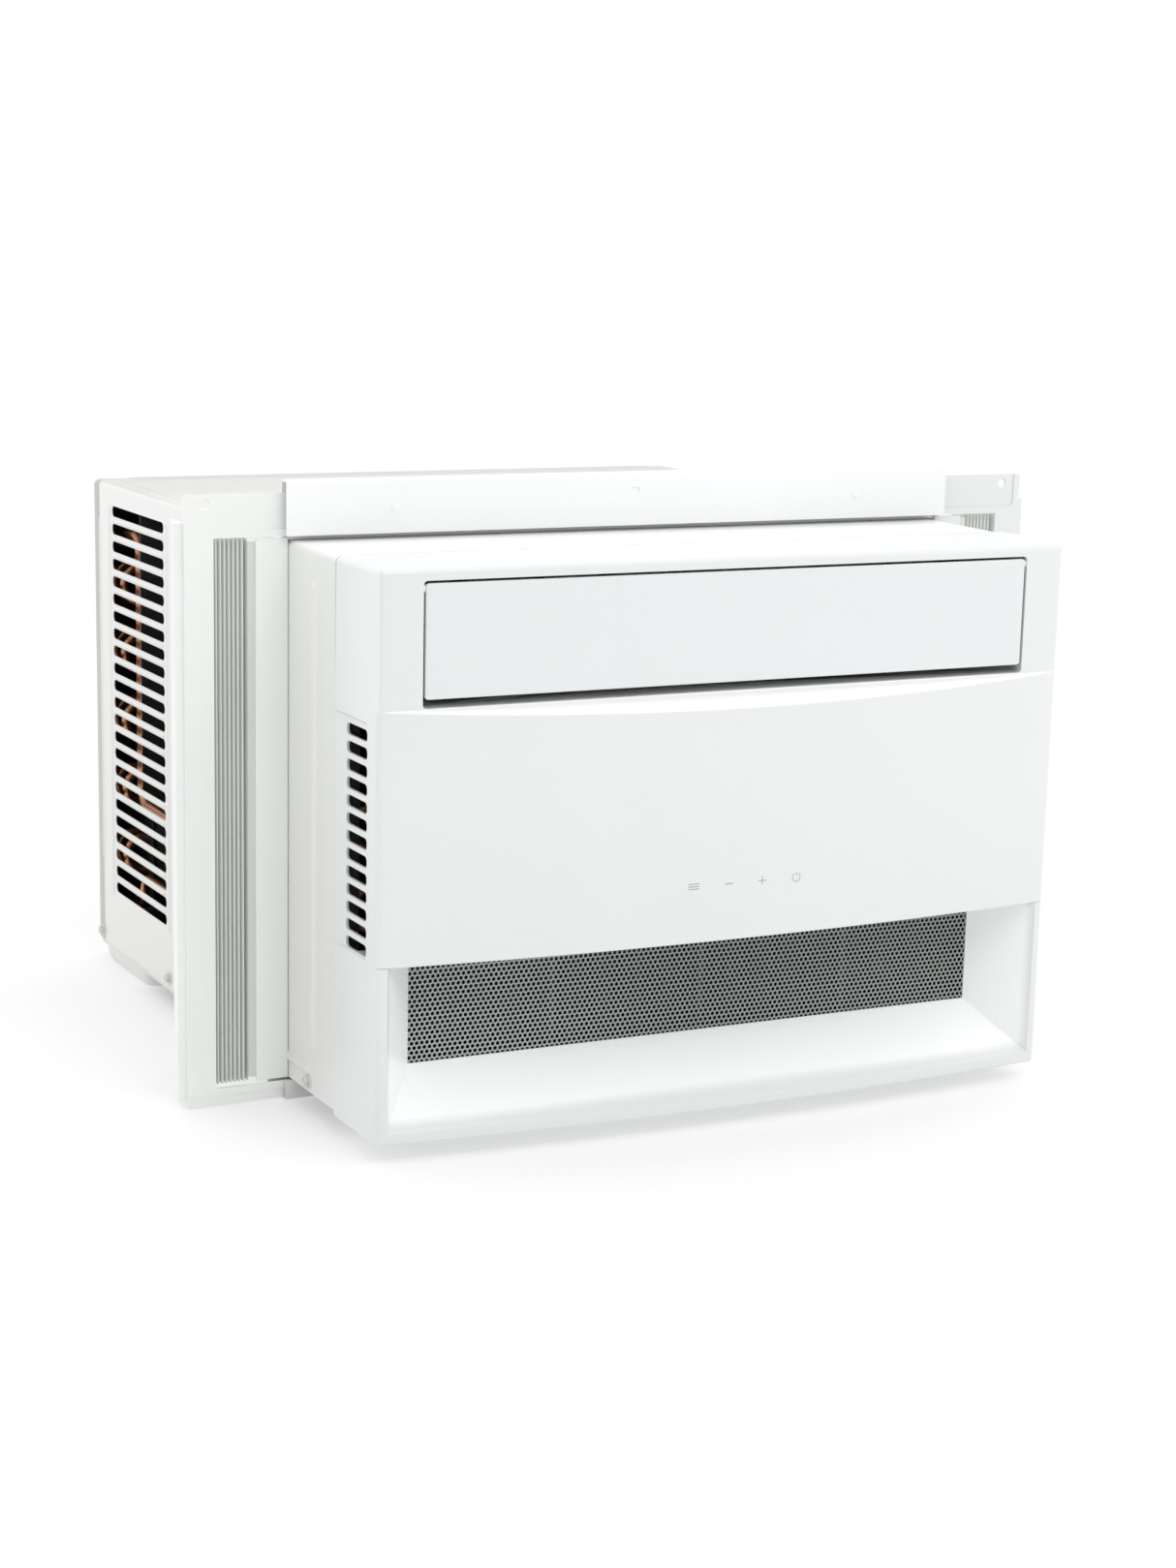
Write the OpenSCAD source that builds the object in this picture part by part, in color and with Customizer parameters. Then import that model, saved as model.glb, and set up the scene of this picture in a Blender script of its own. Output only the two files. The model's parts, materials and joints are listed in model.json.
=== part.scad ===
// Window air conditioner: front bezel with a discharge flap above a bowed panel, steel cabinet,
// accordion side curtains on rails, and the cooling machinery inside.
// Millimetres. +X is right seen from the room, +Y points outdoors, +Z is up. The origin is the
// middle of the window line, on the sill, under the bottom rail.

/* [Front] */
// Width of the front bezel
front_w = 483; // [478:1:488]
// Height of the front bezel
front_h = 352; // [350:1:354]
// Distance from the window line to the flat front face
front_reach = 150; // [146:1:156]
// Depth of the bezel from its flat face to the cabinet
skirt_d = 67; // [64:1:70]
// How far the lower front bows out at its middle
bow = 14; // [8:1:18]
// Width of the discharge opening
outlet_w = 426; // [420:1:430]
// Height of the discharge opening
outlet_h = 76; // [74:1:78]
// Height of the bowed panel
panel_h = 156; // [150:1:158]
// Depth of the intake mesh behind the flat face
mesh_d = 36; // [32:1:40]

/* [Cabinet] */
// Width of the steel cabinet
cab_w = 478; // [476:1:480]
// Distance from the window line to the back of the cabinet
cab_reach = 402; // [400:1:420]
// Thickness of the cabinet's sheet
sheet = 0.9; // [0.8:0.1:1.0]
// Number of air slots in each side of the cabinet
side_slots = 23; // [10:1:23]
// Distance from one air slot to the next
slot_pitch = 12.78; // [12:0.01:12.78]

/* [Curtains] */
// Width over both closed curtain frames, without their seal lips
curtain_w = 616; // [612:1:624]
// Height of the curtain frames
curtain_h = 393; // [392:1:395]
// Number of folds in each curtain
folds = 8; // [5:1:10]
// Height of the top of the top rail above the sill
rail_top = 401; // [400:1:404]

/* [Machinery] */
// Sideways place of the fan axis
fan_x = 45; // [40:1:50]
// Height of the fan axis
fan_z = 170; // [168:1:174]
// Radius of the outdoor fan
fan_r = 146; // [130:1:147]
// Radius of the indoor blower wheel
wheel_r = 94; // [85:1:96]
// Number of steering vanes in the outlet
vane_count = 8; // [8:1:8]

/* [Hidden] */
$fn = 64;
vane_names = [for (i = [1:vane_count]) str("vane_", i)];

// Levels of the front
front_x = front_w / 2;
front_y = -front_reach;
skirt_y = front_y + skirt_d;
front_z0 = 12;
front_z1 = front_z0 + front_h;
wall = 2.5;
bow_r = (front_x * front_x + bow * bow) / (2 * bow);
outlet_x = outlet_w / 2;
outlet_z1 = front_z1 - 8;
outlet_z0 = outlet_z1 - outlet_h;
panel_z1 = outlet_z0 - 0.5;
panel_z0 = panel_z1 - panel_h;
panel_seat = 3;
ledge_fall = 8.5;
mesh_y = front_y + mesh_d;
mesh_x = 205;
mesh_z0 = 51;
rim = 7.5;

// Flap hinge
flap_gap = 1.6;
flap_t = 3.4;
hinge_edge = 3.2;
pivot_y = front_y + hinge_edge;
pivot_z = outlet_z1 - flap_gap - hinge_edge;
pivot_r = 2.5;
running = 0.06;

// Steering vanes
vane_y = front_y + 28;
vane_pitch = 50;
vane_pin_r = 1.5;
vane_lever = 14;

// Cabinet levels
cab_x = cab_w / 2;
cab_z0 = 14;
cab_z1 = front_z1 - 1;
pan_z = 13;
pan_x = cab_x - sheet - 0.1;
screw_z = 21;
screw_ys = [-34, 238, 391];
gland_y = -60;
gland_z = 60;
drain = [60, 240];

// Base pan feet: x, y extents on the right side, and the round of their corners in plan
foot = [150, pan_x, 286, 397];
foot_r = 16;
slot_y0 = 243;
slot_y1 = 358;
slot_h = 7.6;
slot_z1 = 347.3;
side_leg = 14;

// Curtains and rails
frame_x = curtain_w / 2;
frame_d = 26;
arm_end = 60;
lip = 5.5;
bar_in = 289;
strip_in = 266;
retainer_in = 261;
rail_x = 243;
rail_y0 = -5.3;
rail_y1 = 30;
guide_y1 = 4.4;
rail_t = 1.2;
deck_screws = [-180, -60, 60, 180];
deck_screw_y = 37;
stop_screws = [-170, 170];
stop_screw_z = 382.5;
sill_screws = [-150, 0, 150];
sill_screw_y = 36;
arm_z = curtain_h - 27;
hole_x = 294;
hole_z = curtain_h - 6.3;
side_z = curtain_h - 17.5;

// Coils
evap = [-212, 195, -88, -50, 24, 262];
cond = [-214, 214, 345, 392, 18, 357];
fin_pitch = 8;
fin_t = 0.35;
tube_pitch = 25.4;
tube_over = 4;
tube_r = 3.5;
evap_end = [evap[0] - tube_over, tube_row(evap, 1)];
evap_z = tube_level(evap, 8);
cond_end = [cond[0] - tube_over, tube_row(cond, 0)];
cond_z = tube_level(cond, 12);
line_x = -226;
scroll_r = 118;

// Compressor: place in plan, foot bolts, and top of its dome
comp = [-150, 140];
comp_r = 62;
comp_top = 230;
comp_feet = [for (a = [30, 150, 270]) comp + 74 * [cos(a), sin(a)]];

// Filter cassette
filter_y = front_y + 54;
filter_d = 4.5;
filter_z0 = 25;
filter_x0 = -208;
cell = [104, 73];
cell_pitch = [108, 76.5];
cell_origin = [-203, 30];

// Bezel vents
vent_count = 13;
vent_z1 = 262.2;
vent_pitch = 11;
vent_h = 7.3;

// Box between two corners, given as low and high values of x, y and z
module box(x0, x1, y0, y1, z0, z1) {
    translate([x0, y0, z0]) cube([x1 - x0, y1 - y0, z1 - z0]);
}

// The same shape on both sides of the middle plane
module both_sides() {
    children();
    mirror([1, 0, 0]) children();
}

// Cylinder along +Y from y0 to y1
module rod_y(r, y0, y1) {
    translate([0, y0, 0]) rotate([-90, 0, 0]) cylinder(r = r, h = y1 - y0);
}

// Cylinder along +X from x0 to x1
module rod_x(r, x0, x1) {
    translate([x0, 0, 0]) rotate([0, 90, 0]) cylinder(r = r, h = x1 - x0);
}

// Cutter for a slot with round ends: along Y, through a wall that faces X
module slot_cut(x0, x1, y0, y1, z, h) {
    box(x0, x1, y0 + h / 2, y1 - h / 2, z - h / 2, z + h / 2);
    for (y = [y0 + h / 2, y1 - h / 2]) translate([0, y, z]) rod_x(h / 2, x0, x1);
}

// Outline in plan of everything behind the bowed front, up to the cabinet
module bow_plan(inset) {
    intersection() {
        translate([0, front_y - bow + bow_r]) circle(r = bow_r - inset, $fn = 1440);
        translate([-front_x, front_y - bow - 1])
            square([front_w, skirt_d + bow + 1]);
    }
}

// Everything above the ledge that runs from the straight line back to the bowed edge
module above_ledge(drop) {
    slope = ledge_fall / bow;
    run = 40;
    translate([-front_x - 1, 0, 0]) rotate([90, 0, 90]) linear_extrude(front_w + 2) polygon([
        [front_y - run, panel_z1 - run * slope - drop], [front_y, panel_z1 - drop],
        [front_y + 20, panel_z1 - drop], [front_y + 20, panel_z1 + 40],
        [front_y - run, panel_z1 + 40]]);
}

// Screw with a hexagonal washer head; the shank points along +Z from the seat at z = 0
module screw(shank, len) {
    cylinder(r = shank, h = len);
    translate([0, 0, -1]) cylinder(r = 4.8, h = 1);
    translate([0, 0, -3.4]) cylinder(r = 3.6, h = 2.4, $fn = 6);
}

// Tube through a list of points, with a slightly swollen ball at each corner
module pipe(points, r) {
    swell = 0.15;
    for (i = [0:len(points) - 2]) {
        run = points[i + 1] - points[i];
        flat = norm([run[0], run[1]]);
        translate(points[i]) rotate([0, atan2(flat, run[2]), atan2(run[1], run[0])])
            cylinder(r = r, h = norm(run), $fn = 32);
    }
    for (i = [1:len(points) - 2]) translate(points[i]) sphere(r = r + swell, $fn = 32);
}

// Stack of thin fins filling a block given as [x0, x1, y0, y1, z0, z1], with two end plates
module fin_stack(b) {
    count = floor((b[1] - b[0]) / fin_pitch);
    first = (b[0] + b[1] - (count - 1) * fin_pitch) / 2;
    for (i = [0:count - 1])
        box(first + i * fin_pitch, first + i * fin_pitch + fin_t, b[2], b[3], b[4], b[5]);
    for (x = [b[0] - 1.2, b[1]]) box(x, x + 1.2, b[2] - 2, b[3] + 2, b[4] - 2, b[5] + 2);
}

// Depth of a row of tubes, 0 for the front row and 1 for the back one
function tube_row(b, k) = b[2] + (b[3] - b[2]) * (k == 0 ? 0.27 : 0.73);

// Height of the lowest tube of a bank
function tube_level(b, rows) = (b[4] + b[5] - (rows - 1) * tube_pitch) / 2;

// Straight tubes through a fin stack in two rows, joined by hairpin bends beyond the end plates
module tube_bank(b, rows, pitch, r) {
    ys = [tube_row(b, 0), tube_row(b, 1)];
    z0 = tube_level(b, rows);
    over = tube_over;
    for (y = ys, i = [0:rows - 1]) translate([0, y, z0 + i * pitch]) rod_x(r, b[0] - over, b[1] + over);
    for (y = ys, i = [0:rows - 2]) {
        right = (i % 2) == 0;
        translate([right ? b[1] + over : b[0] - over, y, z0 + (i + 0.5) * pitch])
            rotate([90, 0, 0]) rotate([0, 0, right ? -90 : 90])
                rotate_extrude(angle = 180) translate([pitch / 2, 0]) circle(r = r, $fn = 24);
    }
}

module front_bezel() {
    rim_x = front_x - 7;
    color("white") difference() {
        union() {
            difference() {
                union() {
                    box(-front_x, front_x, front_y, skirt_y, panel_z1, front_z1);
                    box(-front_x, front_x, front_y + panel_seat, skirt_y, panel_z0, panel_z1);
                    translate([0, 0, front_z0]) linear_extrude(panel_z0 - front_z0) bow_plan(0);
                }
                box(-front_x + wall, front_x - wall, front_y + 6, skirt_y + 1,
                    front_z0 + wall, front_z1 - wall);
                box(-outlet_x, outlet_x, front_y - 1, front_y + 7, outlet_z0, outlet_z1);
                box(-rim_x, rim_x, front_y - bow - 2, front_y + 7, front_z0 + rim, panel_z0);
            }
            both_sides() {
                // slanted side walls of the intake
                translate([0, 0, front_z0 + rim - 1])
                    linear_extrude(panel_z0 - front_z0 - rim + 1) polygon([
                        [-rim_x, front_y], [-mesh_x, mesh_y], [-mesh_x - 3, mesh_y],
                        [-rim_x - 3, front_y + 3]]);
            }
            // slanted floor and flat ceiling of the intake
            translate([-mesh_x - 26, 0, 0]) rotate([90, 0, 90])
                linear_extrude(2 * mesh_x + 52) polygon([
                    [front_y, front_z0 + rim], [mesh_y, mesh_z0], [mesh_y, mesh_z0 - 3],
                    [front_y + 3, front_z0 + rim - 3]]);
            box(-mesh_x - 3, mesh_x + 3, front_y + 5, mesh_y, panel_z0, panel_z0 + wall);
        }
        both_sides() {
            translate([0, pivot_y, pivot_z]) rod_x(pivot_r + running, outlet_x - 1, outlet_x + 8);
            for (i = [0:vent_count - 1])
                slot_cut(front_x - wall - 1, front_x + 1, front_y + 18, front_y + 50,
                    vent_z1 - i * vent_pitch, vent_h);
        }
        // side slot for the filter cassette
        box(front_x - wall - 1, front_x + 1, filter_y - 1, filter_y + filter_d + 1,
            filter_z0 - 1, filter_z0 + 237);
    }
}

module front_panel() {
    skin = 3;
    color("white") difference() {
        translate([0, 0, panel_z0]) linear_extrude(panel_h) bow_plan(0);
        box(-front_x - 1, front_x + 1, front_y + panel_seat, skirt_y + 1,
            panel_z0 - 1, panel_z1 + 1);
        above_ledge(0);
        difference() {
            translate([0, 0, panel_z0 + skin]) linear_extrude(panel_h) bow_plan(skin);
            above_ledge(skin);
            both_sides() box(front_x - 6, front_x + 1, front_y - bow, skirt_y, 0, front_z1);
        }
    }
}

module intake_mesh() {
    color("silver") box(-mesh_x - 5, mesh_x + 5, mesh_y, mesh_y + 0.8, mesh_z0 - 4, panel_z0 + 8);
}

// Filter cell in column i and row k, from y0 to y1
module filter_cell(i, k, y0, y1) {
    x = cell_origin[0] + i * cell_pitch[0];
    z = cell_origin[1] + k * cell_pitch[1];
    box(x, x + cell[0], y0, y1, z, z + cell[1]);
}

module filter_frame() {
    y1 = filter_y + filter_d;
    color("white") {
        difference() {
            box(filter_x0, front_x - 0.2, filter_y, y1, filter_z0, filter_z0 + 236);
            for (i = [0:3], k = [0:2]) filter_cell(i, k, filter_y - 1, y1 + 1);
        }
        // grip
        box(front_x - 0.2, front_x + 3, filter_y + 0.6, y1 - 0.6, 125, 161);
    }
}

module filter_media() {
    color("dimgray") for (i = [0:3], k = [0:2])
        filter_cell(i, k, filter_y + 1.8, filter_y + 2.6);
}

module discharge_flap() {
    x = outlet_x - flap_gap;
    z0 = outlet_z0 + 5.2;
    color("white") {
        box(-x, x, front_y, front_y + flap_t, z0, pivot_z);
        // rounded top edge round the hinge line, and the hinge pins
        translate([0, pivot_y, pivot_z]) rod_x(hinge_edge, -x, x);
        translate([0, pivot_y, pivot_z]) rod_x(pivot_r, -outlet_x - 6, outlet_x + 6);
        // stiffening ribs across the back
        for (z = [z0 + 8, z0 + 38]) box(-x + 6, x - 6, front_y + flap_t, front_y + 5.4, z, z + 2);
    }
}

module discharge_duct() {
    x = outlet_x + 3;
    color("gainsboro") difference() {
        box(-x, x, front_y + 6.2, 46, outlet_z0 - 3, outlet_z1 + 3);
        box(-outlet_x, outlet_x, front_y, 43, outlet_z0, outlet_z1);
        // mouth over the blower scroll
        box(fan_x - scroll_r + 2.5, fan_x + scroll_r - 2.5, -43.5, 43.5, outlet_z0 - 4, outlet_z0 + 1);
        for (i = [0:vane_count - 1]) translate([vane_x(i), vane_y, outlet_z0 - 4])
            cylinder(r = vane_pin_r + running, h = outlet_h + 8);
    }
}

function vane_x(i) = (i - (vane_count - 1) / 2) * vane_pitch;

// Steering vane that turns about its own upright pins, with a pin at its rear for the link
module vane(i) {
    z0 = outlet_z0 + 4;
    z1 = outlet_z1 - 4;
    color("lightgray") translate([vane_x(i), vane_y, 0]) {
        box(-0.7, 0.7, -15, 18, z0, z1);
        translate([0, 0, outlet_z0 - 2.5]) cylinder(r = vane_pin_r, h = outlet_h + 5);
        translate([0, vane_lever, z0 - 3]) cylinder(r = 1, h = 3.5);
    }
}

module vane_link() {
    y = vane_y + vane_lever;
    z = outlet_z0 + 1.2;
    color("lightgray") difference() {
        box(vane_x(0) - 8, vane_x(vane_count - 1) + 8, y - 6, y + 5, z, z + 1.8);
        for (i = [0:vane_count - 1]) box(vane_x(i) - 1.6, vane_x(i) + 1.6, y - 3.6, y + 1.8, z - 1, z + 3);
    }
}

module display_board() {
    y = front_y - 7;
    color("darkgreen") {
        box(-50, 56, y, y + 1.6, 146, 174);
        for (x = [-45, 51], z = [150, 170]) translate([x, 0, z]) rod_y(2.5, y + 1.6, front_y + 3);
    }
}

module room_sensor() {
    color("dimgray") {
        box(146, 154, evap[2] - 2.8, evap[2] - 0.3, 66, 78);
        translate([150, evap[2] - 1.6, 78]) cylinder(r = 1.2, h = 16);
    }
}

module cabinet_wrapper() {
    color("whitesmoke") difference() {
        union() {
            difference() {
                box(-cab_x, cab_x, skirt_y, cab_reach, cab_z0, cab_z1);
                box(-cab_x + sheet, cab_x - sheet, skirt_y - 1, cab_reach + 1, 0, cab_z1 - sheet);
            }
            // inward flanges at the front and back edges
            edge_flange(skirt_y, 3.5);
            edge_flange(cab_reach - sheet, 8);
        }
        both_sides() {
            for (i = [0:side_slots - 1])
                slot_cut(cab_x - 2, cab_x + 1, slot_y0, slot_y1, slot_z1 - slot_h / 2 - i * slot_pitch,
                    slot_h);
            for (y = screw_ys) translate([0, y, screw_z]) rod_x(2.2, cab_x - 2, cab_x + 1);
        }
        for (x = deck_screws) translate([x, deck_screw_y, cab_z1 - 2]) cylinder(r = 2.2, h = 4);
        translate([0, gland_y, gland_z]) rod_x(9, cab_x - 2, cab_x + 1);
    }
}

// Flange that turns inward at one end of the cabinet; its top leg is narrower than its sides
module edge_flange(y, top_leg) {
    difference() {
        box(-cab_x + 0.1, cab_x - 0.1, y, y + sheet, cab_z0, cab_z1 - 0.1);
        box(-cab_x + side_leg, cab_x - side_leg, y - 1, y + 2, 0, cab_z1 - top_leg);
    }
}

// Foot pressed down from the pan on the right, with round corners in plan
module foot_form(inset, z0, z1) {
    x0 = foot[0] + inset;
    x1 = foot[1] - inset;
    y0 = foot[2] + inset;
    y1 = foot[3] - inset;
    r = foot_r - inset;
    box(x0 + r, x1 - r, y0, y1, z0, z1);
    box(x0, x1, y0 + r, y1 - r, z0, z1);
    for (x = [x0 + r, x1 - r], y = [y0 + r, y1 - r]) translate([x, y, z0]) cylinder(r = r, h = z1 - z0);
}

module base_pan() {
    color("silver") difference() {
        union() {
            difference() {
                box(-pan_x, pan_x, skirt_y + sheet, cab_reach - sheet, pan_z, 44);
                box(-pan_x + 1, pan_x - 1, skirt_y + 2, cab_reach - 2, pan_z + 1, 45);
            }
            both_sides() {
                // hem under the side edge
                box(pan_x - 1, pan_x, 46, cab_reach - sheet, 10.5, pan_z);
                foot_form(0, 0, pan_z);
            }
        }
        both_sides() {
            foot_form(1, 1, pan_z + 2);
            for (y = screw_ys) translate([0, y, screw_z]) rod_x(1.95, pan_x - 3, pan_x + 1);
        }
        for (x = sill_screws) translate([x, sill_screw_y, 10]) cylinder(r = 1.95, h = 6);
        for (p = comp_feet) translate([p[0], p[1], 10]) cylinder(r = 3.1, h = 6);
        translate([drain[0], drain[1], 10]) cylinder(r = 8, h = 6);
        // low front edge under the indoor coil
        box(-222, 222, skirt_y - 1, skirt_y + 2.5, 21, 46);
    }
}

module top_rail() {
    color("white") difference() {
        union() {
            difference() {
                box(-rail_x, rail_x, rail_y0, guide_y1, cab_z1 + 3.3, rail_top);
                box(-rail_x - 1, rail_x + 1, rail_y0 + rail_t, guide_y1 - rail_t,
                    cab_z1, rail_top - rail_t);
            }
            box(-rail_x, rail_x, guide_y1 - rail_t, guide_y1, cab_z1, rail_top - 1);
            box(-rail_x, rail_x, guide_y1 - rail_t, 44, cab_z1, cab_z1 + rail_t);
        }
        for (x = stop_screws) translate([x, 0, stop_screw_z]) rod_y(2.2, rail_y0 - 1, rail_y0 + 3);
        box(-4, 4, rail_y0 - 1, rail_y0 + 3, 388, 391);
        for (x = deck_screws) translate([x, deck_screw_y, cab_z1 - 1]) cylinder(r = 2.2, h = 4);
    }
}

module bottom_rail() {
    color("silver") difference() {
        union() {
            difference() {
                box(-rail_x, rail_x, -4, rail_y1, 0, pan_z);
                box(-rail_x - 1, rail_x + 1, -4 + rail_t, rail_y1 - rail_t, rail_t, pan_z + 1);
            }
            box(-rail_x, rail_x, rail_y1 - 1, 42, pan_z - rail_t, pan_z);
        }
        for (x = sill_screws) translate([x, sill_screw_y, pan_z - 3]) cylinder(r = 2.2, h = 4);
    }
}

module rail_screws() {
    color("gray") {
        for (x = stop_screws) translate([x, rail_y0, stop_screw_z]) rotate([-90, 0, 0]) screw(2, 3.5);
        for (x = deck_screws) translate([x, deck_screw_y, cab_z1 + rail_t])
            rotate([180, 0, 0]) screw(2, 4.4);
        for (x = sill_screws) translate([x, sill_screw_y, pan_z - rail_t]) screw(1.9, 7);
    }
}

module cabinet_screws() {
    color("gray") both_sides() for (y = screw_ys)
        translate([cab_x, y, screw_z]) rotate([0, -90, 0]) screw(1.9, 7);
}

// Sliding frame of the left curtain; the right one is its mirror image
module curtain_frame() {
    t = 2;
    color("white") difference() {
        union() {
            // upright bar, a channel open to the rear
            box(-frame_x, -bar_in, 0, t, 0.6, curtain_h);
            box(-frame_x, -frame_x + t, 0, frame_d, 0.6, side_z);
            box(-bar_in - t, -bar_in, 0, frame_d, 13, arm_z);
            // seal lip
            box(-frame_x - lip, -frame_x, 3, 9, 5, side_z);
            // top arm, a flat tongue
            box(-frame_x, -arm_end, 0, t, arm_z, curtain_h);
            // bottom arm, a flat tongue, and the upright's closed foot
            box(-frame_x, -arm_end, 0, t, 1.8, 12);
            box(-frame_x, -bar_in, 0, frame_d, 0.6, 2.4);
        }
        translate([-hole_x, 0, hole_z]) rod_y(2.5, -1, t + 1);
    }
}

module curtain_frame_left() { curtain_frame(); }
module curtain_frame_right() { mirror([1, 0, 0]) curtain_frame(); }

// Accordion sheet of the left curtain, folded front to back
module curtain_pleats() {
    step = (bar_in - strip_in) / folds;
    t = 0.7;
    front = [for (i = [0:2 * folds]) [-strip_in - i * step / 2, i % 2 == 0 ? 3 : 22]];
    back = [for (i = [2 * folds:-1:0]) front[i] + [0, t * 2]];
    color("darkgray") translate([0, 0, 14]) linear_extrude(arm_z - 15) polygon(concat(front, back));
}

module curtain_pleats_left() { curtain_pleats(); }
module curtain_pleats_right() { mirror([1, 0, 0]) curtain_pleats(); }

// Angle on the cabinet's side that holds the inner edge of the left curtain
module curtain_retainer() {
    plate_y = 2.6;
    step_y = plate_y + 1.2;
    color("white") {
        box(-retainer_in, -cab_x - 0.2, 1, plate_y, 14, arm_z - 1);
        box(-cab_x - 1.6, -cab_x, plate_y, 25, cab_z0 + 1, cab_z1 - 1);
        // strip set back beside the folds, with a stiffening leg
        box(-strip_in, -retainer_in + 2, plate_y, step_y, 16.5, arm_z - 3);
        box(-strip_in, -strip_in + 1.6, step_y, 9, 16.5, arm_z - 3);
    }
}

module curtain_retainer_left() { curtain_retainer(); }
module curtain_retainer_right() { mirror([1, 0, 0]) curtain_retainer(); }

module cord_gland() {
    color("dimgray") translate([cab_x, gland_y, gland_z]) difference() {
        union() {
            rod_x(8.8, -8, 1);
            rod_x(12, 0, 2.4);
            rod_x(12, -8, -3);
        }
        rod_x(4.5, -9, 3);
    }
}

module drain_plug() {
    color("dimgray") translate([drain[0], drain[1], 0]) {
        translate([0, 0, 9.5]) cylinder(r = 12, h = 3.5);
        translate([0, 0, 12]) cylinder(r = 7.9, h = 5);
    }
}

module evaporator_fins() { color("silver") fin_stack(evap); }
module evaporator_tubes() { color("peru") tube_bank(evap, 8, tube_pitch, tube_r); }

module drain_tray() {
    color("lightgray") difference() {
        box(-222, 206, -81, -47, 14.2, 21.8);
        box(-220, 204, -79, -49, 16, 23);
    }
}

module blower_scroll() {
    r = scroll_r;
    color("gainsboro") difference() {
        scroll_form(r, -46, 46);
        scroll_form(r - 2.5, -43.5, 43.5);
        translate([fan_x, 0, fan_z]) rod_y(wheel_r - 8, -50, -40);
        translate([fan_x, 0, fan_z]) rod_y(12, 40, 50);
        box(fan_x - r + 2.5, fan_x + r - 2.5, -43.5, 43.5, fan_z, outlet_z0);
    }
}

// Round below the fan axis and straight-sided above it, up to the duct
module scroll_form(r, y0, y1) {
    intersection() {
        translate([fan_x, 0, fan_z]) rod_y(r, y0, y1);
        box(fan_x - r, fan_x + r, y0, y1, fan_z - r, fan_z + 1);
    }
    box(fan_x - r, fan_x + r, y0, y1, fan_z, outlet_z0 - 3);
}

module blower_wheel() {
    blades = 36;
    color("dimgray") translate([fan_x, 0, fan_z]) difference() {
        union() {
            rod_y(wheel_r, 26, 28);
            rod_y(11, 10, 34);
            difference() {
                rod_y(wheel_r, -36, -33);
                rod_y(wheel_r - 12, -37, -32);
            }
            for (i = [0:blades - 1]) rotate([0, i * 360 / blades, 0])
                translate([wheel_r - 6, 0, 0]) rotate([0, 35, 0]) box(-5, 5, -34, 27, -0.6, 0.6);
        }
        rod_y(6, 0, 40);
    }
}

module bulkhead() {
    color("silver") difference() {
        union() {
            box(-pan_x + 1.2, pan_x - 1.2, 46.2, 47.2, pan_z + 1, cab_z1 - sheet - 0.4);
            box(-pan_x + 1.2, pan_x - 1.2, 46.2, 53, pan_z + 1, pan_z + 2);
        }
        translate([fan_x, 0, fan_z]) rod_y(16, 40, 50);
        // notches for the copper lines
        box(-pan_x, line_x + 14, 40, 60, 218, 246);
        box(-pan_x, line_x + 14, 40, 60, 62, 88);
    }
}

module motor_bracket() {
    color("gray") translate([fan_x, 0, fan_z]) difference() {
        union() {
            rod_y(66, 60, 62);
            for (a = [45:90:315]) rotate([0, a, 0]) translate([58, 0, 0]) rod_y(5, 47.2, 60);
        }
        rod_y(16, 40, 70);
    }
}

module motor_can() {
    color("gray") translate([fan_x, 0, fan_z]) difference() {
        rod_y(56, 62, 150);
        rod_y(53, 65, 147);
        rod_y(6 + running, 60, 152);
    }
}

module motor_stator() {
    color("peru") translate([fan_x, 0, fan_z]) difference() {
        rod_y(53, 82, 130);
        rod_y(31, 80, 132);
    }
}

module motor_rotor() {
    color("silver") translate([fan_x, 0, fan_z]) difference() {
        rod_y(30, 82, 130);
        rod_y(6, 80, 132);
    }
}

module motor_shaft() { color("silver") translate([fan_x, 0, fan_z]) rod_y(6, -30, 296); }

module condenser_fan() {
    blades = 5;
    color("black") translate([fan_x, 0, fan_z]) {
        difference() {
            rod_y(24, 262, 292);
            rod_y(6, 260, 294);
        }
        difference() {
            rod_y(fan_r, 262, 274);
            rod_y(fan_r - 2, 260, 276);
        }
        for (i = [0:blades - 1]) rotate([0, i * 360 / blades, 0]) intersection() {
            translate([0, 277, 0]) rotate([26, 0, 0]) translate([0, -1, 0]) rotate([-90, 0, 0])
                linear_extrude(2) polygon([
                    [23, -14], [80, -26], [fan_r, -30], [fan_r, 26], [90, 24], [23, 14]]);
            rod_y(fan_r - 1, 262, 300);
        }
    }
}

module fan_shroud() {
    r = 152;
    color("darkgray") difference() {
        union() {
            box(-pan_x + 1.2, pan_x - 1.2, 300, 301.5, pan_z + 1.1, cab_z1 - sheet - 0.4);
            translate([fan_x, 0, fan_z]) rod_y(r + 1.8, 280, 300);
        }
        translate([fan_x, 0, fan_z]) rod_y(r, 279, 303);
        // notch for the copper lines
        box(-pan_x, line_x + 14, 298, 303, 58, 142);
    }
}

// The outdoor coil's end plates turn outward at the back, to close the gap to the cabinet
module condenser_fins() {
    color("silver") {
        fin_stack(cond);
        both_sides() box(cond[1] + 1.2, pan_x - 1.2, cond[3] + 0.8, cond[3] + 2, screw_z + 5, cond[5] + 2);
    }
}
module condenser_tubes() { color("peru") tube_bank(cond, 12, tube_pitch, tube_r); }

module compressor_shell() {
    dome_r = 80;
    color("black") difference() {
        translate([comp[0], comp[1], 0]) {
            translate([0, 0, 30]) cylinder(r = comp_r, h = 170);
            intersection() {
                translate([0, 0, comp_top - dome_r]) sphere(r = dome_r);
                translate([0, 0, 200]) cylinder(r = comp_r, h = 40);
            }
            for (a = [30, 150, 270]) rotate([0, 0, a]) box(40, 88, -16, 16, 30, 33);
        }
        translate([comp[0], comp[1], 33]) cylinder(r = comp_r - 3, h = 167);
        for (p = comp_feet) translate([p[0], p[1], 28]) cylinder(r = 6.2, h = 8);
    }
}

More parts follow.
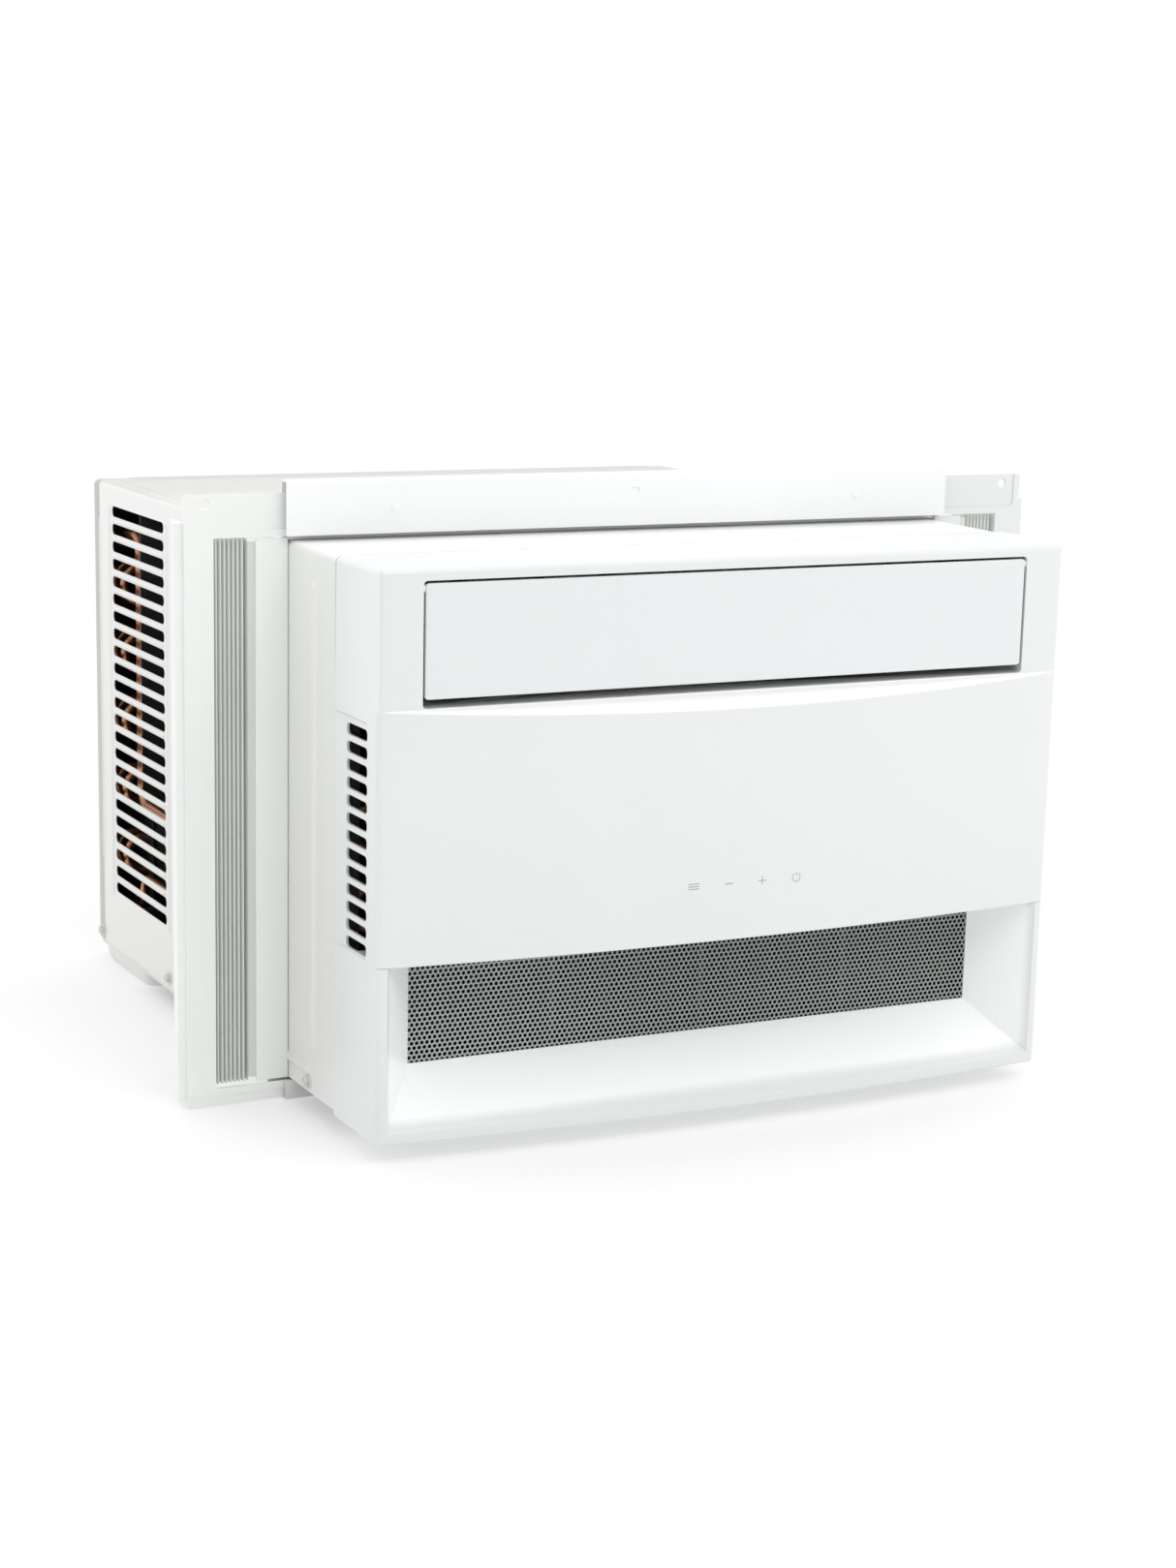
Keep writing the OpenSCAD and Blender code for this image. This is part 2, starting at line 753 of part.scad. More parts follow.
module compressor_core() {
    color("gray") translate([comp[0], comp[1], 33]) {
        cylinder(r = 46, h = 60);
        translate([0, 0, 60]) cylinder(r = 52, h = 70);
    }
}

module compressor_grommets() {
    color("dimgray") for (p = comp_feet) translate([p[0], p[1], 14]) difference() {
        union() {
            cylinder(r = 12, h = 16);
            cylinder(r = 6, h = 20);
        }
        translate([0, 0, -1]) cylinder(r = 3.2, h = 24);
    }
}

module compressor_nuts() {
    color("silver") for (p = comp_feet) translate([p[0], p[1], 0]) {
        translate([0, 0, 11.2]) cylinder(r = 3, h = 28);
        translate([0, 0, 34.2]) cylinder(r = 9, h = 1.2);
        translate([0, 0, 35.4]) cylinder(r = 6, h = 4.5, $fn = 6);
    }
}

module accumulator() {
    color("black") translate([-150, 232, 0]) {
        translate([0, 0, 60]) cylinder(r = 22, h = 110);
        for (z = [60, 170]) translate([0, 0, z]) sphere(r = 22);
    }
}

// Copper lines, each a few straight runs with round corners
module suction_line() {
    z = evap_z + 7 * tube_pitch;
    color("peru") pipe([[evap_end[0], evap_end[1], z], [line_x, evap_end[1], z], [line_x, 232, z],
        [-150, 232, z], [-150, 232, 192]], 5);
}

module discharge_line() {
    top = 262;
    trap = 130;
    z = cond_z + 11 * tube_pitch;
    color("peru") pipe([[comp[0], comp[1], comp_top], [comp[0], comp[1], top], [line_x, comp[1], top],
        [line_x, 263, top], [line_x, 263, trap], [line_x, 332, trap], [line_x, 332, z],
        [line_x, cond_end[1], z], [cond_end[0], cond_end[1], z]], 4);
}

module liquid_line() {
    z = 75;
    color("peru") {
        pipe([[cond_end[0], cond_end[1], cond_z], [line_x, cond_end[1], cond_z],
            [line_x, 330, cond_z], [line_x, 330, z], [line_x, 250, z]], 3.5);
        pipe([[line_x, 194, z], [line_x, evap_end[1], z], [line_x, evap_end[1], evap_z],
            [evap_end[0], evap_end[1], evap_z]], 2);
    }
}

module filter_drier() {
    color("peru") translate([line_x, 0, 75]) {
        rod_y(10, 204, 240);
        rod_y(6, 194, 250);
    }
}

module control_box() {
    color("silver") difference() {
        box(130, 232, 60, 190, 262, 352);
        box(131, 231, 61, 189, 263, 353);
    }
}

module main_board() {
    color("darkgreen") {
        box(140, 222, 70, 150, 268, 269.6);
        box(150, 172, 80, 100, 269.6, 286);
        box(185, 200, 90, 120, 269.6, 290);
        for (x = [144, 218], y = [74, 146]) translate([x, y, 263]) cylinder(r = 2.5, h = 5);
    }
}

module run_capacitor() {
    color("gray") translate([0, 170, 283]) rod_x(18, 140, 212);
}

front_bezel();
front_panel();
intake_mesh();
filter_frame();
filter_media();
discharge_flap();
discharge_duct();
vane(0);  // vane_1
vane(1);  // vane_2
vane(2);  // vane_3
vane(3);  // vane_4
vane(4);  // vane_5
vane(5);  // vane_6
vane(6);  // vane_7
vane(7);  // vane_8
vane_link();
display_board();
room_sensor();
cabinet_wrapper();
base_pan();
top_rail();
bottom_rail();
rail_screws();
cabinet_screws();
curtain_frame_left();
curtain_frame_right();
curtain_pleats_left();
curtain_pleats_right();
curtain_retainer_left();
curtain_retainer_right();
cord_gland();
drain_plug();
evaporator_fins();
evaporator_tubes();
drain_tray();
blower_scroll();
blower_wheel();
bulkhead();
motor_bracket();
motor_can();
motor_stator();
motor_rotor();
motor_shaft();
condenser_fan();
fan_shroud();
condenser_fins();
condenser_tubes();
compressor_shell();
compressor_core();
compressor_grommets();
compressor_nuts();
accumulator();
suction_line();
discharge_line();
liquid_line();
filter_drier();
control_box();
main_board();
run_capacitor();
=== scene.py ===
"""Window air conditioner: its looks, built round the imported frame. Metres, in the row frame."""

import json
import math

import bmesh
import bpy
from mathutils import Matrix, Vector


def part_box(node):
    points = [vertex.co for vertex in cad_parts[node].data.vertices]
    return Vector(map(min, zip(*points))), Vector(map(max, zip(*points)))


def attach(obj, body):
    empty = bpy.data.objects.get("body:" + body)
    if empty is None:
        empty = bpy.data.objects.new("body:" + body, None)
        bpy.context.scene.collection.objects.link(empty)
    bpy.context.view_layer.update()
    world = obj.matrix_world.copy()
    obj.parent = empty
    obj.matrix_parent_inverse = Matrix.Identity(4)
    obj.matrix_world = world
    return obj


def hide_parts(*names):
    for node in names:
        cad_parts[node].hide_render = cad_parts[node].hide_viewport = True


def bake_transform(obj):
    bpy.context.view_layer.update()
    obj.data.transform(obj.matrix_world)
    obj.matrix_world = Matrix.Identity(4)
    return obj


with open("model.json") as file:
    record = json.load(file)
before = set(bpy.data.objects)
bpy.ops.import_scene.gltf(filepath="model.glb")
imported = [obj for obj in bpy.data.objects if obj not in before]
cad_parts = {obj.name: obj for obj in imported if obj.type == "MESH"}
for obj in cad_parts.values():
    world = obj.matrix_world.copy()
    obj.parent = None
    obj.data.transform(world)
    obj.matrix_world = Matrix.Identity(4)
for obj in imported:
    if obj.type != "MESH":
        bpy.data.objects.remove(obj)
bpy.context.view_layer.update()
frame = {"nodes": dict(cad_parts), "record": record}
scene = bpy.context.scene
MM = 0.001

# ---- places read from the frame
bezel_low, bezel_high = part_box("front_bezel")
panel_low, panel_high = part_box("front_panel")
flap_low, flap_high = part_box("discharge_flap")
mesh_low, mesh_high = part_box("intake_mesh")
cab_low, cab_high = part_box("cabinet_wrapper")
pan_low, pan_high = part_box("base_pan")
rail_low, rail_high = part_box("top_rail")
sill_low, sill_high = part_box("bottom_rail")
curtain_low, curtain_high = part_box("curtain_frame_left")
pleat_low, pleat_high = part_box("curtain_pleats_left")
holder_low, holder_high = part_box("curtain_retainer_left")
fan_low, fan_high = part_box("condenser_fan")
shaft_low, shaft_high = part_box("motor_shaft")

face_y = flap_low.y
half_w = bezel_high.x
skirt_y = bezel_high.y
bow = face_y - bezel_low.y
bow_r = (half_w**2 + bow**2) / (2 * bow)
seat_y = panel_high.y
fan_x = (shaft_low.x + shaft_high.x) / 2
fan_z = (shaft_low.z + shaft_high.z) / 2
fan_r = (fan_high.x - fan_low.x) / 2


def mm(*sizes):
    """Sizes in millimetres as metres."""
    return [size * MM for size in sizes]


def bow_at(x):
    """How far the bowed front stands before the flat one at x."""
    return max(bow - bow_r + math.sqrt(max(bow_r**2 - x**2, 0)), 0)


# ---- finishes
def feed(tree, node, values):
    """Sets inputs of a shader node; a value that is another node's output is linked to it."""
    for name, value in values.items():
        if isinstance(value, bpy.types.NodeSocket):
            tree.links.new(value, node.inputs[name])
        else:
            node.inputs[name].default_value = value
    return node


def add(tree, kind, values, operation=None):
    """New shader node; gives its outputs."""
    node = tree.nodes.new("ShaderNode" + kind)
    if operation:
        node.operation = operation
    return feed(tree, node, values).outputs


def finish(name, colour, rough, metal=0.0, coat=0.0, mottle=0.015, grain=0.01, size=2.0, clouds=14.0):
    """Procedural material: clouded colour and roughness, and a fine relief; grain and size are in mm."""
    made = bpy.data.materials.new(name)
    made.use_nodes = True
    tree = made.node_tree
    where = add(tree, "TexCoord", {})["Object"]

    def noise(scale, detail):
        return add(tree, "TexNoise", {"Scale": scale, "Detail": detail, "Vector": where})["Fac"]

    ramp = tree.nodes.new("ShaderNodeValToRGB")
    for stop, share in ((0, 1 - mottle), (1, 1 + mottle)):
        element = ramp.color_ramp.elements[stop]
        element.position = 0.3 + 0.4 * stop
        element.color = [min(c * share, 1) for c in colour] + [1]
    feed(tree, ramp, {"Fac": noise(clouds, 3)})
    spread = add(tree, "MapRange", {
        "To Min": rough * 0.85, "To Max": min(rough * 1.2, 1), "Value": noise(clouds * 5, 2)})
    bump = add(tree, "Bump", {"Strength": 1.0, "Distance": grain * MM, "Height": noise(1 / (size * MM), 2)})
    feed(tree, tree.nodes["Principled BSDF"], {
        "Metallic": metal, "Coat Weight": coat, "Coat Roughness": 0.06,
        "Base Color": ramp.outputs["Color"], "Roughness": spread["Result"], "Normal": bump["Normal"]})
    return made


def shade_where(made, tests, colour):
    """Turn a finish to another shade where all tests hold.

    A test is (axis, start, end) in the object's own coordinates, rising from 0 at start to 1 at end;
    axis "side" is the distance from the middle plane, and "up" is how far the surface faces upward.
    """
    tree = made.node_tree
    base = tree.nodes["Principled BSDF"].inputs["Base Color"]
    where = add(tree, "TexCoord", {})
    place = add(tree, "SeparateXYZ", {"Vector": where["Object"]})
    facing = add(tree, "SeparateXYZ", {"Vector": where["Normal"]})
    share = None
    for axis, start, end in tests:
        value = facing["Z"] if axis == "up" else place["X" if axis == "side" else axis]
        if axis == "side":
            value = add(tree, "Math", {0: value}, "ABSOLUTE")["Value"]
        step = add(tree, "MapRange", {"From Min": start, "From Max": end, "Value": value})["Result"]
        share = step if share is None else add(tree, "Math", {0: share, 1: step}, "MULTIPLY")["Value"]
    mix = tree.nodes.new("ShaderNodeMix")
    mix.data_type = "RGBA"
    feed(tree, mix, {0: share, 6: base.links[0].from_socket, 7: (*colour, 1)})
    tree.links.new(mix.outputs[2], base)
    return made


def white(name, colour, rough, coat, grain=0.001, size=3.0):
    """Smooth white plastic or paint."""
    return finish(name, colour, rough, coat=coat, mottle=0.006, grain=grain, size=size)


# one finish for each slot of the record
FINISHES = {
    "white_plastic": white("white_plastic", (0.745, 0.77, 0.76), 0.32, 0.15),
    "panel_gloss": white("panel_gloss", (0.735, 0.765, 0.765), 0.24, 0.3, grain=0.0008, size=4.0),
    "white_steel": white("white_steel", (0.70, 0.705, 0.685), 0.3, 0.2),
    # painted shade: the mesh turns darker from its left edge to the middle and stays so to the right
    "mesh_grey": shade_where(
        finish("mesh_grey", (0.40, 0.44, 0.42), 0.5, mottle=0.04, grain=0.002, size=0.6),
        [("X", mesh_low.x, 0)], (0.29, 0.325, 0.305)),
}
for slot, colour, rough, more in (
        ("filter_mesh", (0.02, 0.022, 0.022), 0.75, dict(mottle=0.08, grain=0.02, size=0.8)),
        # galvanised steel painted very dark: painted shade for the parts seen deep inside the cabinet
        ("galvanised", (0.16, 0.165, 0.17), 0.5, dict(metal=0.6, mottle=0.12, grain=0.006, clouds=60)),
        # aluminium fins painted dark grey: painted shade of the coil's depth
        ("fin_aluminium", (0.2, 0.205, 0.205), 0.5, dict(metal=0.7, mottle=0.05, grain=0.006, size=3)),
        ("copper", (0.58, 0.29, 0.16), 0.3, dict(metal=1.0, mottle=0.12, size=3, clouds=40)),
        ("black_steel", (0.025, 0.025, 0.027), 0.32, dict(coat=0.3, mottle=0.2, grain=0.02)),
        ("steel_core", (0.35, 0.35, 0.36), 0.45, dict(metal=0.9, mottle=0.1, grain=0.02)),
        ("black_rubber", (0.03, 0.03, 0.03), 0.7, dict(mottle=0.2, grain=0.02, size=0.8)),
        ("grey_plastic", (0.055, 0.06, 0.06), 0.5, dict(mottle=0.1, grain=0.006, size=0.8)),
        ("foam_white", (0.80, 0.80, 0.78), 0.85, dict(mottle=0.04, grain=0.15, size=2.2, clouds=120)),
        ("pleat_vinyl", (0.73, 0.76, 0.72), 0.45, dict(mottle=0.02, grain=0.002)),
        ("board_green", (0.04, 0.16, 0.07), 0.4, dict(coat=0.2, mottle=0.15, grain=0.02, clouds=90)),
        ("screw_steel", (0.66, 0.66, 0.64), 0.3, dict(metal=0.95, mottle=0.06, grain=0.004, size=0.5)),
        ("capacitor_can", (0.55, 0.56, 0.57), 0.33, dict(metal=0.9, mottle=0.05, grain=0.006))):
    FINISHES[slot] = finish(slot, colour, rough, **more)

# finishes of single pieces; the intake's inside and the panel's ledge are painted lighter than the faces
# round them, as painted light where they lie in shade
BEZEL = shade_where(
    white("bezel_white", (0.745, 0.77, 0.76), 0.32, 0.15),
    [("side", half_w - 7.5 * MM, half_w - 11.5 * MM), ("Z", mesh_low.z - 25 * MM, mesh_low.z - 20.5 * MM),
     ("Z", panel_low.z - 0.5 * MM, panel_low.z - 2.5 * MM), ("Y", bezel_low.y + MM, face_y)],
    (0.96, 0.97, 0.965))
PANEL = shade_where(
    white("panel_white", (0.755, 0.775, 0.77), 0.24, 0.3, grain=0.0008, size=4.0),
    [("up", 0.45, 0.8)], (0.97, 0.975, 0.97))
CABINET = white("cabinet_white", (0.76, 0.765, 0.745), 0.3, 0.2)
# painted light: the cabinet turns lighter from the mesh's top height up to its top
shade_where(CABINET, [("Z", mesh_high.z, cab_high.z)], (0.83, 0.84, 0.825))
# painted shade: upward faces turn darker and warmer from y = 60 mm to 300 mm and stay so to the rear
shade_where(CABINET, [("up", 0.6, 0.9), ("Y", 60 * MM, 300 * MM)], (0.55, 0.545, 0.515))
# painted shade: a darker band over the rear 14 mm of the cabinet
shade_where(CABINET, [("Y", cab_high.y - 16 * MM, cab_high.y - 14 * MM)], (0.42, 0.425, 0.40))
# the front flange is painted near black, as painted shade, since it is only seen in the dark behind the side
# vents
shade_where(CABINET, [("side", cab_high.x - 1.2 * MM, cab_high.x - 1.6 * MM), ("up", 0.5, 0.3),
                      ("Y", cab_low.y + 3 * MM, cab_low.y + 2 * MM)], (0.04, 0.04, 0.04))
# painted shade: the rail turns darker from x = 100 mm to its right end
RAIL = shade_where(
    white("rail_white", (0.93, 0.94, 0.94), 0.3, 0.2),
    [("X", 100 * MM, rail_high.x)], (0.86, 0.875, 0.88))
# painted shade: the curtain frames and retainer plates turn darker from the middle to the right end
MOULDED = shade_where(
    white("curtain_white", (0.875, 0.895, 0.875), 0.36, 0.1),
    [("X", 0, rail_high.x)], (0.75, 0.775, 0.76))
STRIP = finish("strip_white", (0.66, 0.70, 0.67), 0.4, mottle=0.01, grain=0.001, size=3.0)
# lighter copy of the fin finish, for the condenser; the usual fin finish is painted darker as shade
BRIGHT_FIN = finish("bright_fin", (0.52, 0.525, 0.52), 0.42, metal=0.7, mottle=0.04, grain=0.006, size=3)
# near-black sheet, painted shade for the coil end plates and the fan shroud seen deep inside the cabinet
SHADOW_SHEET = finish("shadow_sheet", (0.03, 0.03, 0.032), 0.5, metal=0.5, mottle=0.2, grain=0.004)
INK = finish("touch_marks", (0.32, 0.34, 0.34), 0.5, mottle=0.02, grain=0.002, size=0.5)


# ---- building blocks
def shown(name, mesh):
    """New object of the scene with this mesh."""
    made = bpy.data.objects.new(name, mesh)
    scene.collection.objects.link(made)
    return made


def plain(name, verts, faces):
    """Mesh object in the row frame, with its points and faces just as they are given."""
    mesh = bpy.data.meshes.new(name)
    mesh.from_pydata([tuple(v) for v in verts], [], faces)
    return shown(name, mesh)


def solid(name, verts, faces, weld=True):
    """Mesh object in the row frame, with doubled points merged and its faces turned outward."""
    made = plain(name, verts, faces)
    form = bmesh.new()
    form.from_mesh(made.data)
    if weld:
        bmesh.ops.remove_doubles(form, verts=form.verts, dist=1e-6)
        bmesh.ops.dissolve_degenerate(form, edges=form.edges, dist=1e-7)
    bmesh.ops.recalc_face_normals(form, faces=form.faces)
    form.to_mesh(made.data)
    form.free()
    return made


def join(name, objs):
    """One object from several, which are removed."""
    form = bmesh.new()
    for obj in objs:
        form.from_mesh(obj.data)
        bpy.data.objects.remove(obj)
    mesh = bpy.data.meshes.new(name)
    form.to_mesh(mesh)
    form.free()
    return shown(name, mesh)


def combine(obj, tools, operation="DIFFERENCE"):
    """Cuts tools out of obj, or adds them to it. Tools that are cut in one go don't overlap one another."""
    tool = join("tool", tools)
    boolean = obj.modifiers.new("combine", "BOOLEAN")
    boolean.operation = operation
    boolean.solver = "EXACT"
    boolean.object = tool
    bpy.context.view_layer.update()
    shaped = obj.evaluated_get(bpy.context.evaluated_depsgraph_get())
    mesh = bpy.data.meshes.new_from_object(shaped)
    obj.modifiers.clear()
    obj.data = mesh
    bpy.data.objects.remove(tool)
    return obj


def soften(obj, width, steps, angle):
    """Rounds off the edges of obj that are sharper than the angle."""
    bevel = obj.modifiers.new("edges", "BEVEL")
    bevel.width = width
    bevel.segments = steps
    bevel.limit_method = "ANGLE"
    bevel.angle_limit = math.radians(angle)
    bevel.harden_normals = True


def settle(obj, slot, body="chassis", node=None, edge=0.0, steps=2, angle=35, material=None):
    """Gives a piece its finish, its softened edges, its body and the CAD node that it stands for."""
    obj.data.materials.clear()
    obj.data.materials.append(material or FINISHES[slot])
    obj.data.shade_smooth()
    if edge:
        soften(obj, edge, steps, angle)
    else:
        obj.data.set_sharp_from_angle(angle=math.radians(angle))
    if body:
        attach(obj, body)
    if node:
        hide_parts(node)


def settle_sheet(obj, slot, body, node, thick, offset=-1.0, material=None):
    """Gives a thin sheet of faces its finish, its thickness, its body and the CAD node that it stands for."""
    obj.data.materials.append(material or FINISHES[slot])
    thicken = obj.modifiers.new("thickness", "SOLIDIFY")
    thicken.thickness = thick
    thicken.offset = offset
    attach(obj, body)
    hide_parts(node)


def turn_over(obj):
    """Moves obj to the other side of the middle plane, as its mirror image."""
    obj.data.transform(Matrix.Scale(-1, 4, (1, 0, 0)))
    obj.data.flip_normals()
    return obj


def mirror_x(obj, name):
    """Copy of obj on the other side of the middle plane."""
    return turn_over(shown(name, obj.data.copy()))


POINT = {
    "x": lambda u, v, t: (t, u, v),
    "y": lambda u, v, t: (u, t, v),
    "z": lambda u, v, t: (u, v, t),
}


def loft(name, rings, around=True, along=False, caps=True):
    """Surface through rings of points. around closes each ring; along closes the row of rings."""
    n, m = len(rings[0]), len(rings)
    verts = [p for ring in rings for p in ring]
    faces = []
    for k in range(m if along else m - 1):
        a, b = k * n, (k + 1) % m * n
        for i in range(n if around else n - 1):
            j = (i + 1) % n
            faces.append((a + i, a + j, b + j, b + i))
    if caps and around and not along:
        faces += [tuple(range(n)), tuple(range((m - 1) * n, m * n))]
    if caps and along and not around:
        faces += [tuple(k * n for k in range(m)), tuple(k * n + n - 1 for k in range(m))]
    return solid(name, verts, faces)


def extrude(name, outline, axis, t0, t1):
    """Solid with a flat outline, run along an axis. An outline is (y, z), (x, z) or (x, y)."""
    return loft(name, [[POINT[axis](u, v, t) for u, v in outline] for t in (t0, t1)])


def block(name, x0, x1, y0, y1, z0, z1):
    """Rectangular bar, which is always a part of a larger piece."""
    return extrude(name, [(x0, y0), (x1, y0), (x1, y1), (x0, y1)], "z", z0, z1)


def rounded(points, radii, steps=6):
    """Outline with round corners; radii is one number, or one for each corner."""
    made, count = [], len(points)
    for i, corner in enumerate(points):
        r = radii[i] if isinstance(radii, (list, tuple)) else radii
        p = Vector(corner)
        if r <= 0:
            made.append(tuple(p))
            continue
        to_last = (Vector(points[i - 1]) - p).normalized()
        to_next = (Vector(points[(i + 1) % count]) - p).normalized()
        half = math.acos(max(-1, min(1, to_last.dot(to_next)))) / 2
        centre = p + (to_last + to_next).normalized() * (r / math.sin(half))
        reach = r / math.tan(half)
        start, end = p + to_last * reach - centre, p + to_next * reach - centre
        a0 = math.atan2(start.y, start.x)
        turn = math.atan2(start.x * end.y - start.y * end.x, start.dot(end))
        for k in range(steps + 1):
            a = a0 + turn * k / steps
            made.append((centre.x + r * math.cos(a), centre.y + r * math.sin(a)))
    return made


def round_box(u0, u1, v0, v1, r, steps=6):
    """Outline of a rectangle with round corners."""
    return rounded([(u0, v0), (u1, v0), (u1, v1), (u0, v1)], r, steps)


def rod(name, centre, axis, r, t0, t1, sides=24):
    """Round rod along an axis; centre is its place in the other two coordinates."""
    ring = [(centre[0] + r * math.cos(a), centre[1] + r * math.sin(a))
            for a in (2 * math.pi * k / sides for k in range(sides))]
    return extrude(name, ring, axis, t0, t1)


def circle(centre, side, other, r, sides):
    """Ring of points round centre, in the plane of the unit vectors side and other."""
    return [centre + (side * math.cos(a) + other * math.sin(a)) * r
            for a in (2 * math.pi * k / sides for k in range(sides))]


def turned(name, place, axis, profile, sides=32):
    """Solid of revolution with its foot at place; profile is a list of (radius, height along axis)."""
    axis = Vector(axis)
    side = axis.orthogonal().normalized()
    other = axis.cross(side)
    place = Vector(place)
    return loft(name, [circle(place + axis * h, side, other, max(r, 1e-7), sides) for r, h in profile])


def pipe(name, points, r, bend, sides=20):
    """Round tube along straight runs joined by arcs of radius bend."""
    path = []
    for i, here in enumerate(points):
        p = Vector(here)
        if i in (0, len(points) - 1):
            path.append(p)
            continue
        back, ahead = Vector(points[i - 1]) - p, Vector(points[i + 1]) - p
        reach = min(bend, back.length * 0.49, ahead.length * 0.49)
        u, w = back.normalized(), ahead.normalized()
        if u.dot(w) < -0.999:
            continue
        half = u.angle(w) / 2
        radius = reach * math.tan(half)
        centre = p + (u + w).normalized() * (radius / math.sin(half))
        start, end = p + u * reach - centre, p + w * reach - centre
        for k in range(9):
            path.append(centre + start.normalized().slerp(end.normalized(), k / 8) * radius)
    rings, side = [], None
    for i, p in enumerate(path):
        ahead = (path[min(i + 1, len(path) - 1)] - path[max(i - 1, 0)]).normalized()
        side = ahead.orthogonal() if side is None else side - ahead * side.dot(ahead)
        side = side.normalized()
        rings.append(circle(p, side, ahead.cross(side), r, sides))
    return loft(name, rings)


def emboss(name, at, u0, u1, v0, v1, r, profile, filled=True):
    """Raised form round a rounded rectangle; profile runs outward, as a list of (offset, height)."""
    rings = []
    for off, height in profile:
        ring = round_box(u0 - off, u1 + off, v0 - off, v1 + off, max(r + off, 1e-5), 8)
        rings.append([at(u, v, height) for u, v in ring])
    made = loft(name, rings, caps=False)
    if filled:
        form = bmesh.new()
        form.from_mesh(made.data)
        form.faces.new([form.verts.new(p) for p in rings[0]])
        bmesh.ops.remove_doubles(form, verts=form.verts, dist=1e-6)
        bmesh.ops.recalc_face_normals(form, faces=form.faces)
        form.to_mesh(made.data)
        form.free()
    return made


def swell(width, height, steps=8, foot=0.04 * MM):
    """Profile of a bead that is highest at its middle and runs out flat."""
    return [(width * k / steps, height * (1 + math.cos(math.pi * k / steps)) / 2 - foot * k / steps)
            for k in range(steps + 1)]


def bead(name, at, u, v, width, height, r=0.05 * MM):
    """Bead of this width and height round the rectangle u by v; each of the two is a (start, end)."""
    return emboss(name, at, *u, *v, r, swell(width, height))


def near(place):
    """Very short run round a place, for a bead along a line."""
    return place - 0.1 * MM, place + 0.1 * MM


def quarter(steps):
    """Places on a round edge of radius 1, from its one end to the other, as distances from its two faces."""
    return [(1 - math.sin(a), 1 - math.cos(a)) for a in (math.pi / 2 * k / steps for k in range(steps + 1))]


# ---- front bezel
CORNER, TOP_EDGE, FOOT_EDGE = mm(4, 4.5, 2)
WALL, FRONT_WALL, RIM_SIDE, RIM_FLOOR = mm(2.5, 6, 7, 7.5)
OUTLET_GAP, FLAP_PIN = mm(1.6, 6)

outlet_x = flap_high.x - FLAP_PIN
outlet_z1 = flap_high.z + OUTLET_GAP
outlet_z0 = panel_high.z + 0.5 * MM


def front_plan(inset, bowed, clip=None):
    """Outline in plan of the bezel: round front corners, straight sides, open end at the cabinet."""
    reach, front = half_w - inset, face_y + inset
    r = max(CORNER - inset, 0.4 * MM)
    left = [(-reach, skirt_y)]
    left += [(-reach + r * v, front + r * u) for u, v in quarter(8)]
    span = 64
    middle = [(-reach + r + (reach - r) * 2 * k / span, front) for k in range(1, span)]
    points = left + middle + [(-x, y) for x, y in reversed(left)]
    if bowed:
        points = [(x, y - (bow_at(x) if y < skirt_y else 0)) for x, y in points]
    return [(x, max(y, clip)) for x, y in points] if clip is not None else points


def bezel_rings():
    """Rings of the bezel's skin from its foot up: bowed below the panel, flat behind it and above."""
    rings = [(bezel_low.z + FOOT_EDGE * u, front_plan(FOOT_EDGE * v, True)) for u, v in reversed(quarter(4))]
    rings += [(panel_low.z, front_plan(0, True)), (panel_low.z, front_plan(0, False, seat_y)),
              (panel_high.z, front_plan(0, False, seat_y)), (panel_high.z, front_plan(0, False))]
    rings += [(bezel_high.z - TOP_EDGE * u, front_plan(TOP_EDGE * v, False)) for u, v in quarter(8)]
    return [[(x, y, z) for x, y in ring] for z, ring in rings]


bezel = loft("bezel_shell", bezel_rings())
# hollow behind the front wall, and behind the mesh below the panel
inner_top, inner_foot = bezel_high.z - WALL, bezel_low.z + WALL
behind_front, behind_mesh = face_y + FRONT_WALL, mesh_high.y + 0.4 * MM
shelf = panel_low.z + WALL
combine(bezel, [extrude("hollow", [
    (behind_front, shelf), (behind_front, inner_top), (skirt_y + MM, inner_top), (skirt_y + MM, inner_foot),
    (behind_mesh, inner_foot), (behind_mesh, shelf)], "x", -half_w + WALL, half_w - WALL)])
combine(bezel, [extrude("outlet", round_box(-outlet_x, outlet_x, outlet_z0, outlet_z1, 2.5 * MM), "y",
                        face_y - MM, behind_front + MM)])

# intake: side walls, floor and ceiling that narrow to the mesh
MOUTH_X = half_w - RIM_SIDE
THROAT_X = mesh_high.x - 5 * MM
throat_z, mouth_z = mesh_low.z + 4 * MM, bezel_low.z + RIM_FLOOR
out_y = bezel_low.y - 10 * MM
funnel = []
for k in range(65):
    u = -1 + 2 * k / 64
    lip = face_y - bow_at(MOUTH_X * u)
    funnel.append([
        (THROAT_X * u, behind_mesh + MM, panel_low.z), (THROAT_X * u, behind_mesh + MM, throat_z),
        (THROAT_X * u, mesh_low.y, throat_z), (MOUTH_X * u, lip, mouth_z), (MOUTH_X * u, out_y, mouth_z),
        (MOUTH_X * u, out_y, panel_low.z), (MOUTH_X * u, lip, panel_low.z),
        (THROAT_X * u, mesh_low.y, panel_low.z)])
verts = [p for ring in funnel for p in ring]
faces = [(8 * k + i, 8 * k + (i + 1) % 8, 8 * k + 8 + (i + 1) % 8, 8 * k + 8 + i)
         for k in range(64) for i in range(8)]
for base in (0, 64 * 8):
    faces += [tuple(base + i for i in face) for face in ((0, 1, 2, 7), (7, 2, 3, 6), (6, 3, 4, 5))]
combine(bezel, [solid("funnel", verts, faces)])

